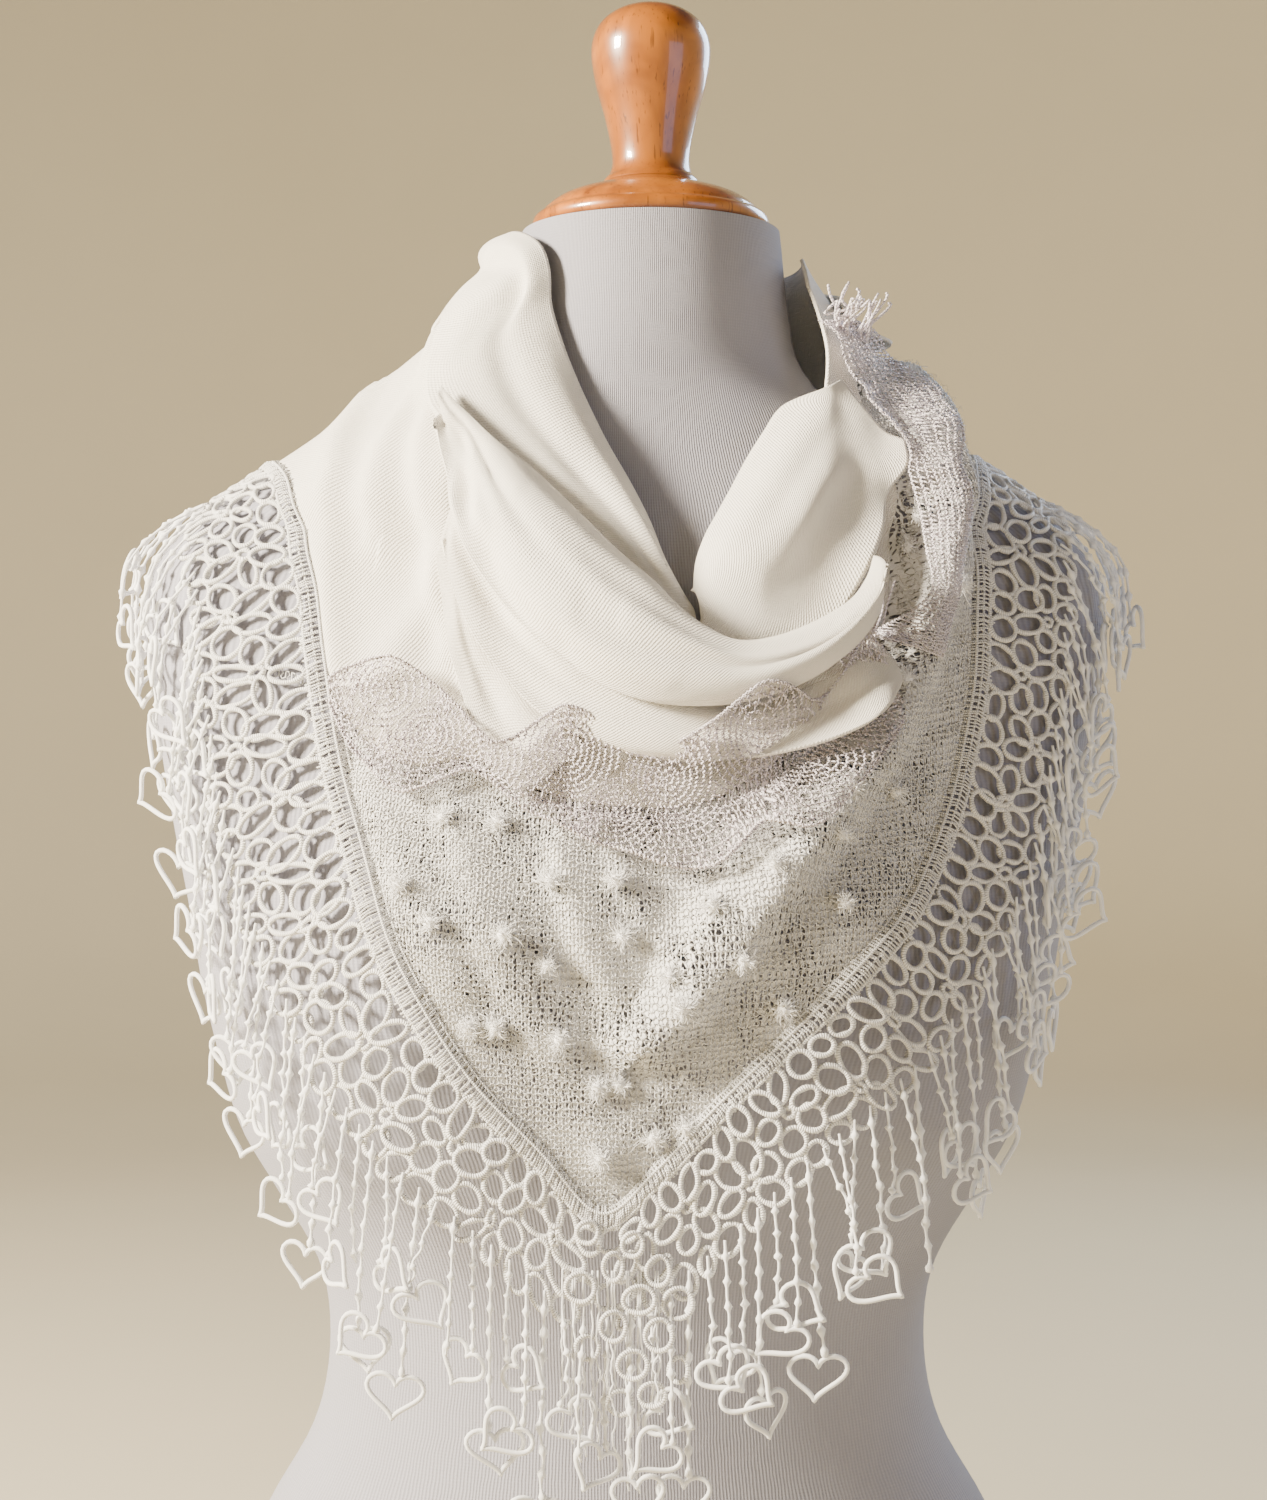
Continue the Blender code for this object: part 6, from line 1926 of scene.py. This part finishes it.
class SHAWL_OT_stage(bpy.types.Operator):
    """Set up the pale floor, the soft light and the camera"""

    bl_idname = "shawl.stage"
    bl_label = "Stage"

    def execute(self, context):
        make_backdrop()
        add_light("key", (-1.55, -0.65, 1.15), (0, 0, 0.42), 0.4, 225, (1.0, 0.87, 0.67))
        add_light("fill", (1.5, -1.3, 0.6), (0, 0, 0.35), 1.0, 6, (0.3, 0.48, 1.0))
        add_light("back", (1.1, 1.2, 1.3), (0, 0, 0.45), 0.8, 26, (0.6, 0.76, 1.0))
        world = bpy.data.worlds.new("studio")
        world.use_nodes = True
        world.node_tree.nodes["Background"].inputs["Color"].default_value = (0.7, 0.8, 1.0, 1)
        world.node_tree.nodes["Background"].inputs["Strength"].default_value = 0.09
        context.scene.world = world
        bpy.ops.object.camera_add(location=(0.0027, -1.05, 0.4457), rotation=(math.radians(90), 0, 0))
        camera = bpy.context.object
        camera.data.lens = 60
        camera.data.sensor_width = 36
        context.scene.camera = camera
        return {"FINISHED"}


class SHAWL_PT_steps(bpy.types.Panel):
    """The steps that model the shawl, in order"""

    bl_idname = "SHAWL_PT_steps"
    bl_label = "Lace shawl"
    bl_space_type = "VIEW_3D"
    bl_region_type = "UI"
    bl_category = "Shawl"

    def draw(self, context):
        for step in STEPS:
            self.layout.operator(step.bl_idname)
        for group in (context.scene.shawl_sizes, context.scene.shawl_colours):
            box = self.layout.box()
            for name in group.__annotations__:
                box.prop(group, name)


STEPS = [
    SHAWL_OT_form,
    SHAWL_OT_wood,
    SHAWL_OT_wool,
    SHAWL_OT_knit,
    SHAWL_OT_bobbles,
    SHAWL_OT_ruffle,
    SHAWL_OT_edging,
    SHAWL_OT_fringe,
    SHAWL_OT_stage,
]
CLASSES = [ShawlSizes, ShawlColours, *STEPS, SHAWL_PT_steps]


def register():
    """Add the settings, the steps and their panel."""
    for kind in CLASSES:
        bpy.utils.register_class(kind)
    bpy.types.Scene.shawl_sizes = PointerProperty(type=ShawlSizes)
    bpy.types.Scene.shawl_colours = PointerProperty(type=ShawlColours)


def unregister():
    """Take them away again."""
    del bpy.types.Scene.shawl_colours
    del bpy.types.Scene.shawl_sizes
    for kind in reversed(CLASSES):
        bpy.utils.unregister_class(kind)


def main():
    """Model every piece and set the stage."""
    register()
    bpy.ops.shawl.form()
    bpy.ops.shawl.wood()
    bpy.ops.shawl.wool()
    bpy.ops.shawl.knit()
    bpy.ops.shawl.bobbles()
    bpy.ops.shawl.ruffle()
    bpy.ops.shawl.edging()
    bpy.ops.shawl.fringe()
    bpy.ops.shawl.stage()


if __name__ == "__main__":
    main()
